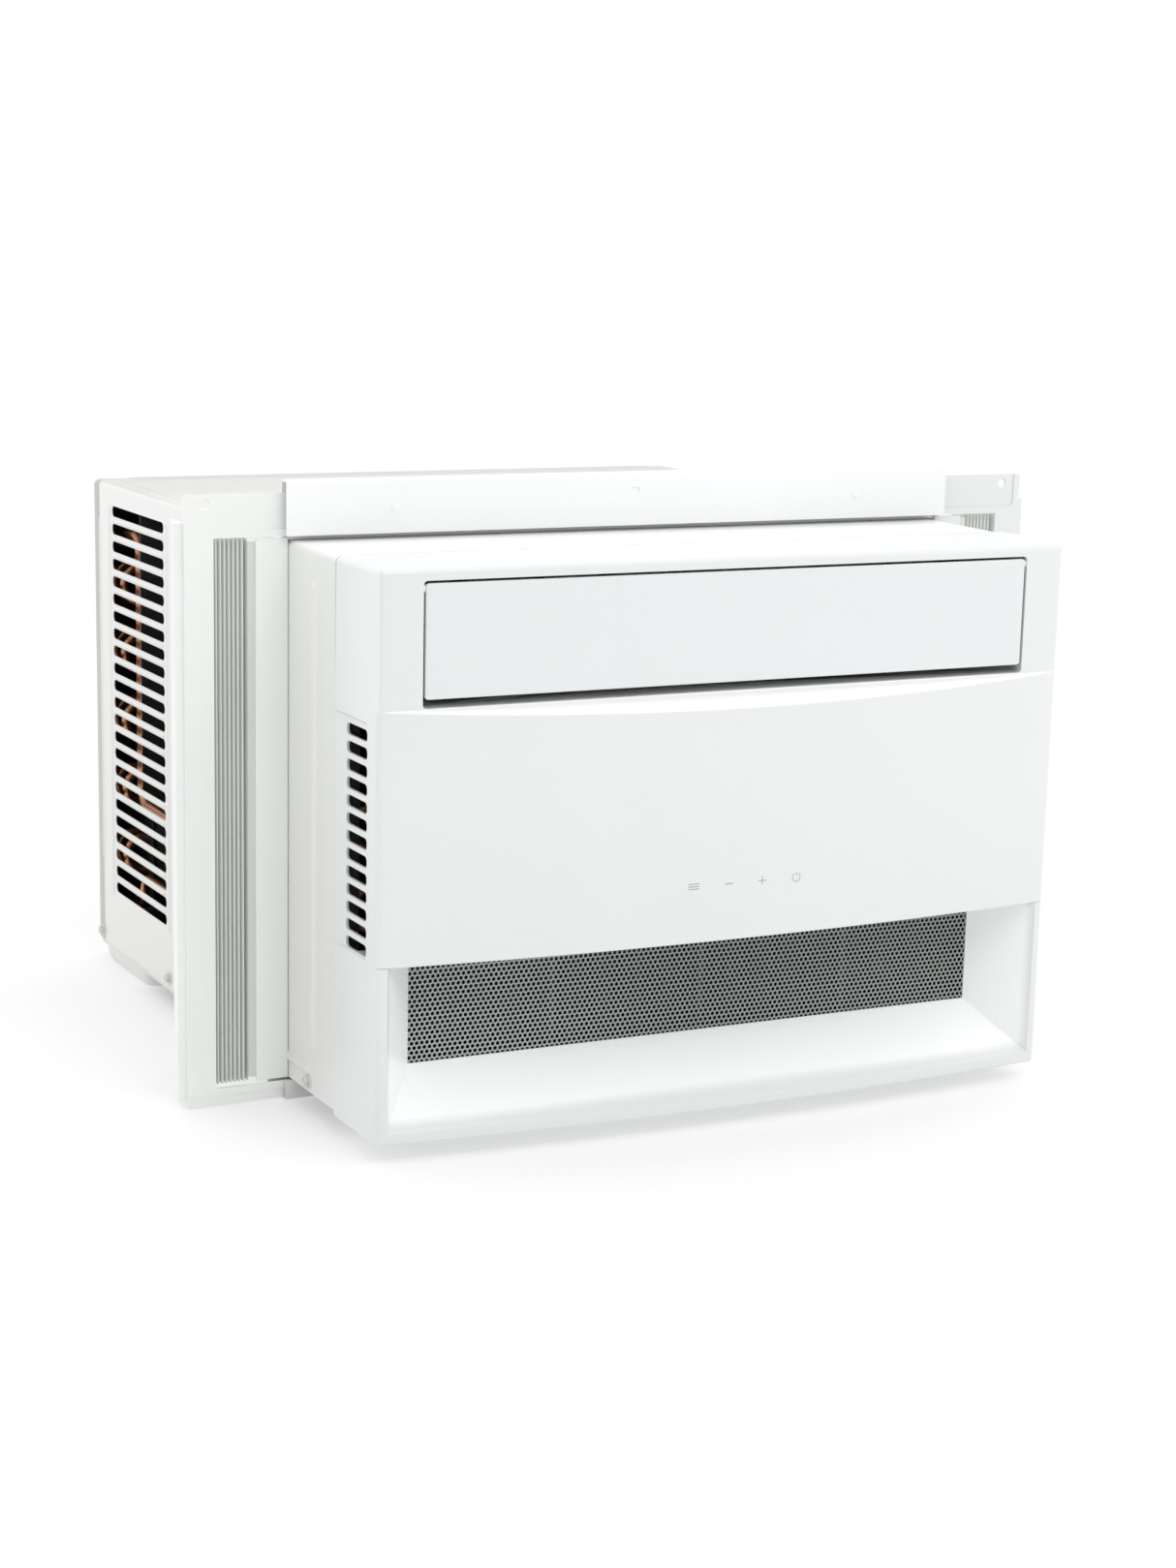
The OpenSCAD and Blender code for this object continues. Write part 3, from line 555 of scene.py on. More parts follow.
# side vents, filter slot, hinge bores, and the shallow step that frames the vents
VENT_COUNT, VENT_PITCH, VENT_H, VENT_TOP = 13, 11 * MM, 7.3 * MM, 262.2 * MM
VENT_FRONT, VENT_BACK = face_y + 18 * MM, face_y + 50 * MM
holes, steps_in = [], []
for side in (-1, 1):
    wall = sorted((side * (half_w - WALL - MM), side * (half_w + MM)))
    for i in range(VENT_COUNT):
        z = VENT_TOP - i * VENT_PITCH
        holes.append(extrude("vent", round_box(VENT_FRONT, VENT_BACK, z - VENT_H / 2, z + VENT_H / 2,
                                               2.9 * MM, 8), "x", *wall))
    holes.append(rod("bore", (face_y + 3.2 * MM, flap_high.z - 3.2 * MM), "x", 2.56 * MM,
                     *sorted((side * (outlet_x - 0.5 * MM), side * (flap_high.x + 0.5 * MM)))))
    skin = sorted((side * (half_w - 0.8 * MM), side * (half_w + MM)))
    steps_in.append(extrude("step", rounded([
        (VENT_FRONT - 2.5 * MM, VENT_TOP - 137 * MM), (skirt_y + MM, VENT_TOP - 137 * MM),
        (skirt_y + MM, VENT_TOP + 8 * MM), (VENT_FRONT - 2.5 * MM, VENT_TOP + 8 * MM)],
        [3 * MM, 0, 0, 9 * MM], 8), "x", *skin))
holes.append(block("slot", half_w - WALL - MM, half_w + MM, face_y + 53 * MM, face_y + 59.5 * MM,
                   24 * MM, 262 * MM))
combine(bezel, steps_in)
combine(bezel, holes)
settle(bezel, "white_plastic", node="front_bezel", edge=0.7 * MM, steps=3, angle=30, material=BEZEL)
# painted light on the lighter upper sides, and painted shadow in the seam behind the skirt and under the
# step's upper edge
shade_where(BEZEL, [("side", half_w - 1.5 * MM, half_w - 0.8 * MM), ("Z", mesh_high.z, panel_high.z)],
            (0.82, 0.84, 0.83))
shade_where(BEZEL, [("Y", skirt_y - 0.8 * MM, skirt_y - 0.7 * MM),
                    ("Z", panel_high.z, bezel_high.z - 6 * MM)],
            (0.22, 0.22, 0.21))
shade_where(BEZEL, [("Y", VENT_FRONT - 2 * MM, VENT_FRONT + 2 * MM),
                    ("Z", VENT_TOP + 7.3 * MM, VENT_TOP + 7.6 * MM),
                    ("Z", VENT_TOP + 8.4 * MM, VENT_TOP + 8.1 * MM)], (0.5, 0.5, 0.49))


# ---- bowed panel with its sloping ledge
LEDGE_FALL = 8.5 * MM
ledge_slope = LEDGE_FALL / bow


def panel_section(x, corner_cut):
    """Closed outline (y, z) of the panel at x: bottom edge, bowed face, round brow, sloping ledge."""
    front = face_y - bow_at(x) + corner_cut
    front = min(front, seat_y - 0.05 * MM)
    stand = max(face_y - front, 0)
    brow = panel_high.z - ledge_slope * stand
    edge = min(0.9 * MM, (seat_y - front) * 0.45)
    back = seat_y - 0.02 * MM
    corners = [(back, panel_low.z), (front, panel_low.z), (front, brow), (min(face_y, back), panel_high.z),
               (back, panel_high.z)]
    if stand < 0.3 * MM:
        corners[3] = ((front + back) / 2, panel_high.z - 0.001 * MM)
        return rounded(corners, [0, edge, edge, 0, 0], 5)
    return rounded(corners, [0, edge, min(1.4 * MM, stand * 0.6), 0, 0], 5)


# stations from the left side to the right one, closer together round the corners
stations = [(-half_w + CORNER * (1 - math.sqrt(1 - 0.25**2)), 2.99 * MM)]
for u, v in quarter(8):
    if CORNER * u < seat_y - face_y:
        stations.append((-half_w + CORNER * v, CORNER * u))
inner = [(-half_w + CORNER + (half_w - CORNER) * 2 * k / 72, 0.0) for k in range(1, 72)]
stations = stations + inner + [(-x, c) for x, c in reversed(stations)]
panel = loft("panel_skin", [[(x, y, z) for y, z in panel_section(x, cut)] for x, cut in stations])
settle(panel, "panel_gloss", node="front_panel", angle=40, material=PANEL)


# ---- touch marks on the panel
MARK_Z = 160 * MM
marks_v, marks_f = [], []


def mark(outline):
    """Flat printed shape on the bowed panel from an outline of (x, z)."""
    base = len(marks_v)
    lift = 0.03 * MM
    marks_v.extend((x, face_y - bow_at(x) - lift, z) for x, z in outline)
    marks_f.append(tuple(range(base, base + len(outline))))


def bar(x, z, w, h):
    """Straight stroke of a mark."""
    mark([(x - w / 2, z - h / 2), (x + w / 2, z - h / 2), (x + w / 2, z + h / 2), (x - w / 2, z + h / 2)])


def arc_mark(x, z, r, t, a0, a1, steps=28):
    """Round stroke of a mark, clockwise from the angle a0 to a1 in degrees."""
    for k in range(steps):
        a, b = (math.radians(a0 + (a1 - a0) * s / steps) for s in (k, k + 1))
        mark([(x + (r + s) * math.sin(c), z + (r + s) * math.cos(c))
              for c, s in ((a, -t / 2), (b, -t / 2), (b, t / 2), (a, t / 2))])


MODE_X, LESS_X, MORE_X, POWER_X = mm(-34, -9, 15, 40)
for row in (-1, 0, 1):
    bar(MODE_X, MARK_Z + row * 1.6 * MM, 7.5 * MM, 0.55 * MM)
bar(LESS_X, MARK_Z, 5.5 * MM, 0.6 * MM)
bar(MORE_X, MARK_Z, 5.5 * MM, 0.6 * MM)
for side in (1, -1):
    bar(MORE_X, MARK_Z + side * 1.52 * MM, 0.6 * MM, 2.45 * MM)
arc_mark(POWER_X, MARK_Z, 2.8 * MM, 0.5 * MM, 28, 332)
bar(POWER_X, MARK_Z + 2.2 * MM, 0.5 * MM, 2.8 * MM)
marks = solid("touch_marks", marks_v, marks_f, weld=False)
settle(marks, None, material=INK)


# ---- discharge flap
FLAP_T = 3.4 * MM
flap_x = outlet_x - OUTLET_GAP
hinge_y, hinge_z = face_y + 3.2 * MM, flap_high.z - 3.2 * MM
flap = extrude("flap_plate", round_box(-flap_x, flap_x, flap_low.z, flap_high.z, 2.2 * MM, 5), "y",
               face_y, face_y + FLAP_T)
settle(flap, "panel_gloss", "flap", node="discharge_flap", edge=0.8 * MM, steps=3)
flap_parts = [rod("pin", (hinge_y, hinge_z), "x", 2.5 * MM, *sorted((s * (flap_x - MM), s * flap_high.x)))
              for s in (-1, 1)]
for z in (8 * MM, 38 * MM):
    flap_parts.append(block("rib", -flap_x + 6 * MM, flap_x - 6 * MM, face_y + FLAP_T - 0.3 * MM,
                            face_y + 5.4 * MM, flap_low.z + z, flap_low.z + z + 2 * MM))
settle(join("flap_ribs", flap_parts), "white_plastic", "flap", edge=0.3 * MM)


# ---- intake mesh with hexagonal holes
def perforated(name, x0, x1, z0, z1, y0, y1, pitch, hole):
    """Sheet of hexagonal cells, each with a hexagonal hole right through."""
    rise = pitch * math.sqrt(3) / 2
    outer_r, inner_r = pitch / math.sqrt(3), hole / math.sqrt(3)
    verts, faces, shared = [], [], {}
    corners = [(math.sin(math.pi / 3 * k), math.cos(math.pi / 3 * k)) for k in range(6)]

    def vertex(x, y, z):
        key = (round(x / 1e-6), round(y / 1e-6), round(z / 1e-6))
        if key not in shared:
            shared[key] = len(verts)
            verts.append((x, y, z))
        return shared[key]

    for row in range(int((z1 - z0) / rise) + 1):
        z = z0 + row * rise
        for col in range(int((x1 - x0) / pitch) + 1):
            x = x0 + (col + 0.5 * (row % 2)) * pitch
            ring = [[vertex(x + r * a, y, z + r * b) for a, b in corners]
                    for r, y in ((outer_r, y0), (inner_r, y0), (inner_r, y1), (outer_r, y1))]
            for k in range(6):
                n = (k + 1) % 6
                for a, b in ((0, 1), (1, 2), (2, 3)):
                    faces.append((ring[a][k], ring[a][n], ring[b][n], ring[b][k]))
    return plain(name, verts, faces)


screen = perforated("intake_screen", mesh_low.x + 2.5 * MM, mesh_high.x - 3 * MM, mesh_low.z + 1.5 * MM,
                    mesh_high.z - 2 * MM, mesh_low.y, mesh_low.y + 0.45 * MM, 3.46 * MM, 2.45 * MM)
settle(screen, "mesh_grey", node="intake_mesh", angle=30)


# ---- steel cabinet
SHEET, BEND, END_BEND, LEG_BEND = mm(0.9, 4, 2.2, 2)
SIDE_LEG, TOP_LEG_FRONT, TOP_LEG_REAR = mm(14, 3.5, 8)
REAR_ROLL, REAR_IN = mm(14, 0.9)


def hoop(y, side, top, bend):
    """U of points round the cabinet at depth y, set in by side and top."""
    x, z = cab_high.x - side, cab_high.z - top
    right = [(x, cab_low.z)] + [(x - bend * v, z - bend * u) for u, v in quarter(6)]
    return [(-u, y, v) for u, v in right] + [(u, y, v) for u, v in reversed(right)]


def round_bend(y, run, depth, skin, turns, ease=0.0):
    """Hoops of a bend that starts at y, goes in by depth over run, and lies within the skin."""
    made = []
    for u, v in turns:
        leg = skin + depth * v
        made.append(hoop(y + run * u, leg, leg, BEND - skin - ease * depth * v))
    return made


tight = END_BEND - SHEET
hoops = [hoop(cab_low.y, SIDE_LEG, TOP_LEG_FRONT, LEG_BEND)]
hoops += round_bend(cab_low.y, END_BEND, END_BEND, 0, reversed(quarter(5)), 0.5)
hoops += round_bend(cab_high.y, -REAR_ROLL, REAR_IN, 0, quarter(8))
hoops += [hoop(y, SIDE_LEG, TOP_LEG_REAR, LEG_BEND) for y in (cab_high.y, cab_high.y - SHEET)]
hoops += round_bend(cab_high.y - SHEET, SHEET - REAR_ROLL, REAR_IN, SHEET, reversed(quarter(8)))
hoops += round_bend(cab_low.y + SHEET, tight, tight, SHEET, quarter(5), 0.5)
hoops += [hoop(cab_low.y + SHEET, SIDE_LEG, TOP_LEG_FRONT, LEG_BEND)]
cabinet = loft("cabinet_skin", hoops, around=False, along=True)

SLOT_COUNT, SLOT_PITCH, SLOT_H, SLOT_TOP = 23, 12.78 * MM, 7.6 * MM, 343.5 * MM
SLOT_FRONT, SLOT_BACK = 243 * MM, 358 * MM
SCREW_Z = 21 * MM
SCREW_YS = (-34 * MM, 238 * MM, 391 * MM)
holes = []
for side in (-1, 1):
    wall = sorted((side * (cab_high.x - 2 * MM), side * (cab_high.x + MM)))
    for i in range(SLOT_COUNT):
        z = SLOT_TOP - i * SLOT_PITCH
        holes.append(extrude("slot", round_box(SLOT_FRONT, SLOT_BACK, z - SLOT_H / 2, z + SLOT_H / 2,
                                               3.5 * MM), "x", *wall))
holes.append(rod("gland_hole", mm(-60, 60), "x", 9 * MM, cab_high.x - 2 * MM, cab_high.x + MM, 32))
combine(cabinet, holes)


def on_left(u, v, h):
    return -cab_high.x - h, u, v


def on_right(u, v, h):
    return cab_high.x + h, u, v


def on_top(u, v, h):
    return u, v, cab_high.z + h


RIB_Y = 386.5 * MM
ridge_half = [(0.6, 0.9), (1.5, 0.55), (2.4, 0.12), (3.2, -0.03)]
ridge = [mm(-off, height) for off, height in reversed(ridge_half)] + [mm(*step) for step in ridge_half]
slots_low, slots_high = SLOT_TOP - (SLOT_COUNT - 0.6) * SLOT_PITCH, SLOT_TOP + 2 * MM
beads = []
for at in (on_left, on_right):
    for i in range(SLOT_COUNT - 1):
        z = SLOT_TOP - (i + 0.5) * SLOT_PITCH
        beads.append(bead("bar", at, (SLOT_FRONT + 2 * MM, SLOT_BACK - 2 * MM), near(z), 2.4 * MM, 1.3 * MM))
    for y in (SLOT_FRONT - 6 * MM, SLOT_BACK + 6 * MM):
        beads.append(bead("upright", at, near(y), (slots_low, slots_high), 4 * MM, 1.2 * MM))
    beads.append(bead("rear_rib", at, near(RIB_Y), mm(80, 334), 2.2 * MM, 0.9 * MM))
    beads.append(bead("rib", at, mm(-42.5, -38.5), mm(46, 340), 4 * MM, 1.8 * MM, 1.9 * MM))
    beads.append(bead("foot_bead", at, mm(-34, 226), mm(27.5, 29.5), 3.2 * MM, 1.6 * MM, 0.9 * MM))
beads.append(emboss("top_rim", on_top, -cab_high.x + 14 * MM, cab_high.x - 14 * MM,
                    58 * MM, cab_high.y - 20 * MM, 12 * MM, ridge, filled=False))
beads.append(bead("rear_rim", on_top, (-cab_high.x + 24 * MM, cab_high.x - 24 * MM), near(RIB_Y),
                  4.5 * MM, 1.6 * MM))
cabinet = join("cabinet_skin", [cabinet] + beads)
settle(cabinet, "white_steel", node="cabinet_wrapper", edge=0.25 * MM, angle=50, material=CABINET)


# ---- base pan with dished feet
PAN_FLOOR, PAN_T, PAN_CORNER = mm(13, 1, 4)
FOOT_IN, FOOT_Y0, FOOT_Y1, FOOT_ROUND, FOOT_H = mm(150, 286, 397, 16, 9)


def pan_ring(z, inset):
    """Outline of the tray at height z."""
    return [(x, y, z) for x, y in round_box(pan_low.x + inset, pan_high.x - inset, pan_low.y + inset,
                                            pan_high.y - inset, max(PAN_CORNER - inset, MM), 5)]


pan_parts = [loft("pan_tray", [pan_ring(z, inset) for z, inset in (
    (pan_high.z, 0), (PAN_FLOOR + 2 * MM, 0), (PAN_FLOOR + 0.6 * MM, 0.6 * MM), (PAN_FLOOR, 2 * MM),
    (PAN_FLOOR + PAN_T, 2.2 * MM), (PAN_FLOOR + 2 * MM, PAN_T), (pan_high.z, PAN_T))])]
for side in (-1, 1):
    # pressed foot: flush with the side, its rear end rolled up more than its front
    rings = []
    for z, roll in [(PAN_FLOOR + MM, 0)] + [(FOOT_H * u, v) for u, v in quarter(6)]:
        x0, x1 = FOOT_IN + 4 * MM * roll, pan_high.x - 3.5 * MM * roll
        y0, y1 = FOOT_Y0 + 6 * MM * roll, FOOT_Y1 - 15 * MM * roll
        rings.append([(side * x, y, z) for x, y in round_box(x0, x1, y0, y1, FOOT_ROUND - 4 * MM * roll, 8)])
    pan_parts.append(loft("foot", rings))
    x0, x1 = sorted((side * (pan_high.x - 0.2 * MM), side * (pan_high.x - 1 * MM)))
    pan_parts.append(block("hem", x0, x1, 46 * MM, pan_high.y - 3 * MM, 10.5 * MM, PAN_FLOOR + 4 * MM))
settle(join("pan_white", pan_parts), "white_steel", node="base_pan", edge=0.3 * MM, angle=50)


# ---- rails
RAIL_T, RAIL_SEAT = mm(1.2, 0.02)


def channel(y0, y1, y2, lip_z, crown_z, flange_z, seat_z, radii):
    """Section of a channel from y0 to y1, whose rear wall ends in a flange that runs on to y2."""
    inner_z = crown_z - math.copysign(RAIL_T, crown_z - lip_z)
    return rounded([
        (y0, lip_z), (y0, crown_z), (y1, crown_z), (y1, flange_z), (y2, flange_z), (y2, seat_z),
        (y1 - RAIL_T, seat_z), (y1 - RAIL_T, inner_z), (y0 + RAIL_T, inner_z), (y0 + RAIL_T, lip_z)],
        radii, 5)


section = channel(rail_low.y, 4.4 * MM, rail_high.y, cab_high.z + 3.3 * MM, rail_high.z, cab_high.z + RAIL_T,
                  cab_high.z + RAIL_SEAT, mm(0.4, 1.8, 1.8, 0.6, 0.5, 0.4, 1.4, 0.8, 0.8, 0.4))
top_rail = extrude("rail_top", section, "x", rail_low.x, rail_high.x)
NOTCH_X, NOTCH_Z0, NOTCH_Z1, NOTCH_DEEP = mm(4, 388, 391, 0.7)
combine(top_rail, [extrude("notch", round_box(-NOTCH_X, NOTCH_X, NOTCH_Z0, NOTCH_Z1, 1.4 * MM), "y",
                           rail_low.y - MM, rail_low.y + NOTCH_DEEP)])
settle(top_rail, "white_steel", node="top_rail", edge=0.25 * MM, material=RAIL)
section = channel(sill_low.y, 30 * MM, sill_high.y, PAN_FLOOR - RAIL_SEAT, 0, PAN_FLOOR - RAIL_T,
                  PAN_FLOOR - RAIL_SEAT, mm(0.4, 1.6, 1.6, 0.5, 0.4, 0.4, 1.2, 0.6, 0.6, 0.4))
settle(extrude("rail_sill", section, "x", sill_low.x, sill_high.x), "white_steel",
       node="bottom_rail", edge=0.25 * MM)


# ---- curtain frames, retainers and pleats
BAR_OUT, BAR_IN, ARM_END = mm(-308, -289, -60)
ARM_Z, FRAME_T, FRAME_D = mm(366, 2, 26)
HOLE = mm(-294, 386.7)
top_z, low_z = curtain_high.z, curtain_low.z
SIDE_Z = top_z - 17.5 * MM


def curtain_frame(name):
    """Moulded left frame: upright, two arms, rear flanges and seal lip, as one shell."""
    face = rounded([
        (BAR_OUT, low_z), (ARM_END, 1.8 * MM), (ARM_END, 12 * MM), (BAR_IN, 12 * MM), (BAR_IN, ARM_Z),
        (ARM_END, ARM_Z), (ARM_END, top_z), (BAR_OUT, top_z)], mm(2, 0.5, 0.5, 0.8, 0.8, 0.5, 0.5, 1.5), 4)
    form = extrude(name, face, "y", 0, FRAME_T)
    for wall in (
            block("w", BAR_OUT, BAR_OUT + FRAME_T, MM, FRAME_D, low_z + 0.3 * MM, SIDE_Z),
            block("w", BAR_IN - FRAME_T, BAR_IN - 0.01 * MM, MM, FRAME_D, PAN_FLOOR, ARM_Z - 0.2 * MM),
            block("w", BAR_OUT + 0.2 * MM, BAR_IN - 0.01 * MM, MM, FRAME_D - 0.2 * MM,
                  low_z + 0.1 * MM, 2.4 * MM),
            extrude("lip", round_box(curtain_low.x, BAR_OUT + MM, 3 * MM, 9 * MM, 0.9 * MM, 3), "z",
                    5 * MM, SIDE_Z)):
        combine(form, [wall], "UNION")
    # the arms' sliding faces lie a little behind the upright's face, and the upright's corners are eased
    step_x, step_z, step_y = BAR_OUT + 4.5 * MM, top_z - 22.5 * MM, 0.9 * MM
    for tool in (
            extrude("recess", rounded([
                (step_x, step_z), (ARM_END + MM, step_z), (ARM_END + MM, top_z + MM), (step_x, top_z + MM)],
                mm(4, 0, 0, 0)), "y", -MM, step_y),
            block("foot", BAR_OUT - MM, ARM_END + MM, -MM, step_y, 0, 7.5 * MM),
            rod("hole", HOLE, "y", 2.5 * MM, -MM, FRAME_T + MM),
            turned("sink", (HOLE[0], 0.8 * MM, HOLE[1]), (0, 1, 0),
                   [mm(r, h) for r, h in ((0, 0), (3.6, 0), (2.5, 0.9), (0, 0.9))])):
        combine(form, [tool])
    return form


left_frame = curtain_frame("curtain_mould_left")
right_frame = mirror_x(left_frame, "curtain_mould_right")
for obj, side in ((left_frame, "left"), (right_frame, "right")):
    settle(obj, "white_plastic", "curtain_" + side, node="curtain_frame_" + side, edge=0.35 * MM,
           steps=3, material=MOULDED)

STRIP_IN = holder_low.x
PLATE_IN, PLATE_Y, STEP_Y = mm(-261, 2.6, 3.8)
angle_section = rounded([
    (PLATE_IN, 1 * MM), (-cab_high.x - 0.2 * MM, 1 * MM), (-cab_high.x - 0.05 * MM, 25 * MM),
    (-cab_high.x - 1.6 * MM, 25 * MM), (-cab_high.x - 1.8 * MM, PLATE_Y), (PLATE_IN, PLATE_Y)],
    mm(0.7, 1.2, 0.3, 0.3, 0.4, 0.3), 4)
strip_section = [(STRIP_IN, PLATE_Y), (PLATE_IN + 2 * MM, PLATE_Y), (PLATE_IN + 2 * MM, STEP_Y),
                 (STRIP_IN + 1.6 * MM, STEP_Y), (STRIP_IN + 1.6 * MM, 9 * MM), (STRIP_IN, 9 * MM)]
for side in ("left", "right"):
    plate = extrude("curtain_angle_" + side, angle_section, "z", holder_low.z, holder_high.z)
    strip = extrude("curtain_strip_" + side, strip_section, "z",
                    holder_low.z + 2.5 * MM, holder_high.z - 2 * MM)
    if side == "right":
        turn_over(plate)
        turn_over(strip)
    settle(plate, "white_plastic", node="curtain_retainer_" + side, edge=0.25 * MM, material=MOULDED)
    settle(strip, "white_plastic", edge=0.2 * MM, material=STRIP)

FOLDS, FOLD_FRONT, FOLD_BACK, FOLD_R = 8, 4 * MM, 21.5 * MM, 0.42 * MM


def pleats(name):
    """Accordion sheet between the retainer and the left frame."""
    step = (holder_low.x - BAR_IN) / FOLDS
    turns = [(holder_low.x - i * step / 2, FOLD_BACK if i % 2 else FOLD_FRONT) for i in range(2 * FOLDS + 1)]
    path = []
    for i, (x, y) in enumerate(turns):
        if i in (0, len(turns) - 1):
            path.append((x, y))
            continue
        outward = -1 if i % 2 == 0 else 1
        for a in map(math.radians, (-80, -40, 0, 40, 80)):
            path.append((x - FOLD_R * math.sin(a), y + outward * FOLD_R * math.cos(a)))
    half_t = 0.16 * MM
    front, back = [], []
    for i, (x, y) in enumerate(path):
        ax, ay = path[max(i - 1, 0)]
        bx, by = path[min(i + 1, len(path) - 1)]
        length = math.hypot(bx - ax, by - ay)
        nx, ny = -(by - ay) / length * half_t, (bx - ax) / length * half_t
        front.append((x + nx, y + ny))
        back.append((x - nx, y - ny))
    return extrude(name, front + back[::-1], "z", pleat_low.z, pleat_high.z)


left_pleats = pleats("pleats_left")
right_pleats = mirror_x(left_pleats, "pleats_right")
for obj, side, sign in ((left_pleats, "left", -1), (right_pleats, "right", 1)):
    settle(obj, "pleat_vinyl", body=None, node="curtain_pleats_" + side, angle=50)
    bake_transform(obj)


# ---- screws
def hex_screw(place, axis):
    """Washer-faced hexagonal head; axis points out of the work."""
    washer = [mm(r, h) for r, h in ((0.01, 0), (4.8, 0), (4.8, 0.5), (4.3, 0.9), (3.5, 1), (0.01, 1))]
    head = [mm(r, h) for r, h in (
        (3.55, 0.9), (3.55, 2.9), (3.2, 3.35), (2.3, 3.38), (1.9, 2.9), (0.02, 2.9))]
    return [turned("washer", place, axis, washer, 36), turned("hexagon", place, axis, head, 6)]


heads = []
for side in (-1, 1):
    for y in SCREW_YS:
        heads += hex_screw((side * cab_high.x, y, SCREW_Z), (side, 0, 0))
        heads.append(rod("shank", (y, SCREW_Z), "x", 1.9 * MM,
                         *sorted((side * (cab_high.x - 7 * MM), side * cab_high.x))))
settle(join("side_screws", heads), "screw_steel", node="cabinet_screws", angle=30)
heads = []
button = [mm(r, h) for r, h in ((0.01, 0), (3, 0), (3, 0.3), (2.2, 0.6), (0.01, 0.7))]
for x in mm(-170, 170):
    heads.append(turned("button", (x, rail_low.y, 382.5 * MM), (0, -1, 0), button))
for x in mm(-180, -60, 60, 180):
    heads += hex_screw((x, 37 * MM, cab_high.z + RAIL_T), (0, 0, 1))
for x in mm(-150, 0, 150):
    heads += hex_screw((x, 36 * MM, PAN_FLOOR - RAIL_T), (0, 0, -1))
settle(join("rail_heads", heads), "white_steel", node="rail_screws", angle=30, material=RAIL)


# ---- coils
def fins(name, node, x0, x1, material):
    """Close stack of thin fins between end plates at x0 and x1, flanged outward where the node is wider."""
    low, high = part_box(node)
    plate, pitch, thick, inset = mm(1.2, 1.9, 0.16, 2)
    count = int((x1 - x0 - 2 * plate) / pitch)
    start = (x0 + x1 - (count - 1) * pitch) / 2
    verts, faces = [], []
    waves = 6
    for i in range(count):
        x = start + i * pitch
        base = len(verts)
        for j in range(waves + 1):
            y = low.y + inset + (high.y - low.y - 2 * inset) * j / waves
            shift = 0.8 * MM * (1 if j % 2 else -1)
            for z in (low.z + inset, high.z - inset):
                verts.append((x + shift, y, z))
        for j in range(waves):
            a = base + 2 * j
            faces.append((a, a + 2, a + 3, a + 1))
    settle_sheet(plain(name, verts, faces), "fin_aluminium", "chassis", node, thick, 0, material)
    ends = [block("plate", x, x + plate, low.y, high.y, low.z, high.z) for x in (x0, x1 - plate)]
    ends += [block("turn", *sorted((side * x1, side * high.x)), high.y - plate, high.y, low.z, high.z)
             for side in (-1, 1) if high.x > x1 + MM]
    settle(join(name + "_plates", ends), "galvanised", edge=0.3 * MM, material=SHADOW_SHEET)


COIL_END = 215.2 * MM
evap_fins_low, evap_fins_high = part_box("evaporator_fins")
fins("evaporator_stack", "evaporator_fins", evap_fins_low.x, evap_fins_high.x, FINISHES["fin_aluminium"])
fins("condenser_stack", "condenser_fins", -COIL_END, COIL_END, BRIGHT_FIN)


# ---- copper lines
evap_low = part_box("evaporator_tubes")[0]
cond_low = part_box("condenser_tubes")[0]
comp_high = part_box("compressor_shell")[1]
acc_low, acc_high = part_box("accumulator")
suction_low, suction_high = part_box("suction_line")
hot_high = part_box("discharge_line")[1]
liquid_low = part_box("liquid_line")[0]
drier_low, drier_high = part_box("filter_drier")
core_low, core_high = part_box("compressor_core")
comp_x, comp_y = ((core_low[k] + core_high[k]) / 2 for k in (0, 1))
acc_x, acc_y = ((acc_low[k] + acc_high[k]) / 2 for k in (0, 1))
suction_r, hot_r, liquid_r, capillary_r = mm(5, 4, 3.5, 2)
IN_COIL = 8 * MM
riser_x = suction_low.x + suction_r
drier_z = (drier_low.z + drier_high.z) / 2
suction_z = suction_high.z - suction_r
evap_y = suction_low.y + suction_r
suction = pipe("suction_pipe", [
    (evap_low.x + IN_COIL, evap_y, suction_z), (riser_x, evap_y, suction_z), (riser_x, acc_y, suction_z),
    (acc_x, acc_y, suction_z), (acc_x, acc_y, acc_high.z - 3 * MM)], suction_r, 14 * MM)
settle(suction, "copper", node="suction_line", angle=60)
HOT_TOP, HOT_TRAP, TRAP_Y0, TRAP_Y1 = mm(262, 130, 263, 332)
cond_y, cond_z = hot_high.y - hot_r, hot_high.z - hot_r
settle(pipe("discharge_pipe", [
    (comp_x, comp_y, comp_high.z - MM), (comp_x, comp_y, HOT_TOP), (riser_x, comp_y, HOT_TOP),
    (riser_x, TRAP_Y0, HOT_TOP), (riser_x, TRAP_Y0, HOT_TRAP), (riser_x, TRAP_Y1, HOT_TRAP),
    (riser_x, TRAP_Y1, cond_z), (riser_x, cond_y, cond_z), (cond_low.x + IN_COIL, cond_y, cond_z)],
    hot_r, 13 * MM), "copper", node="discharge_line", angle=60)
LIQUID_Y = 330 * MM
liquid_z, feed_z = liquid_low.z + liquid_r, evap_low.z + 6 * MM
to_drier = pipe("to_drier", [
    (cond_low.x + IN_COIL, cond_y, liquid_z), (riser_x, cond_y, liquid_z), (riser_x, LIQUID_Y, liquid_z),
    (riser_x, LIQUID_Y, drier_z), (riser_x, drier_high.y, drier_z)], liquid_r, 12 * MM)
to_coil = pipe("to_coil", [
    (riser_x, drier_low.y, drier_z), (riser_x, evap_y, drier_z), (riser_x, evap_y, feed_z),
    (evap_low.x + IN_COIL, evap_y, feed_z)], capillary_r, 8 * MM)
settle(join("liquid_pipe", [to_drier, to_coil]), "copper", node="liquid_line", angle=60)


# ---- outdoor fan
HUB_R, RING_T, RING_Y0, RING_Y1 = mm(23, 2, 262, 274)


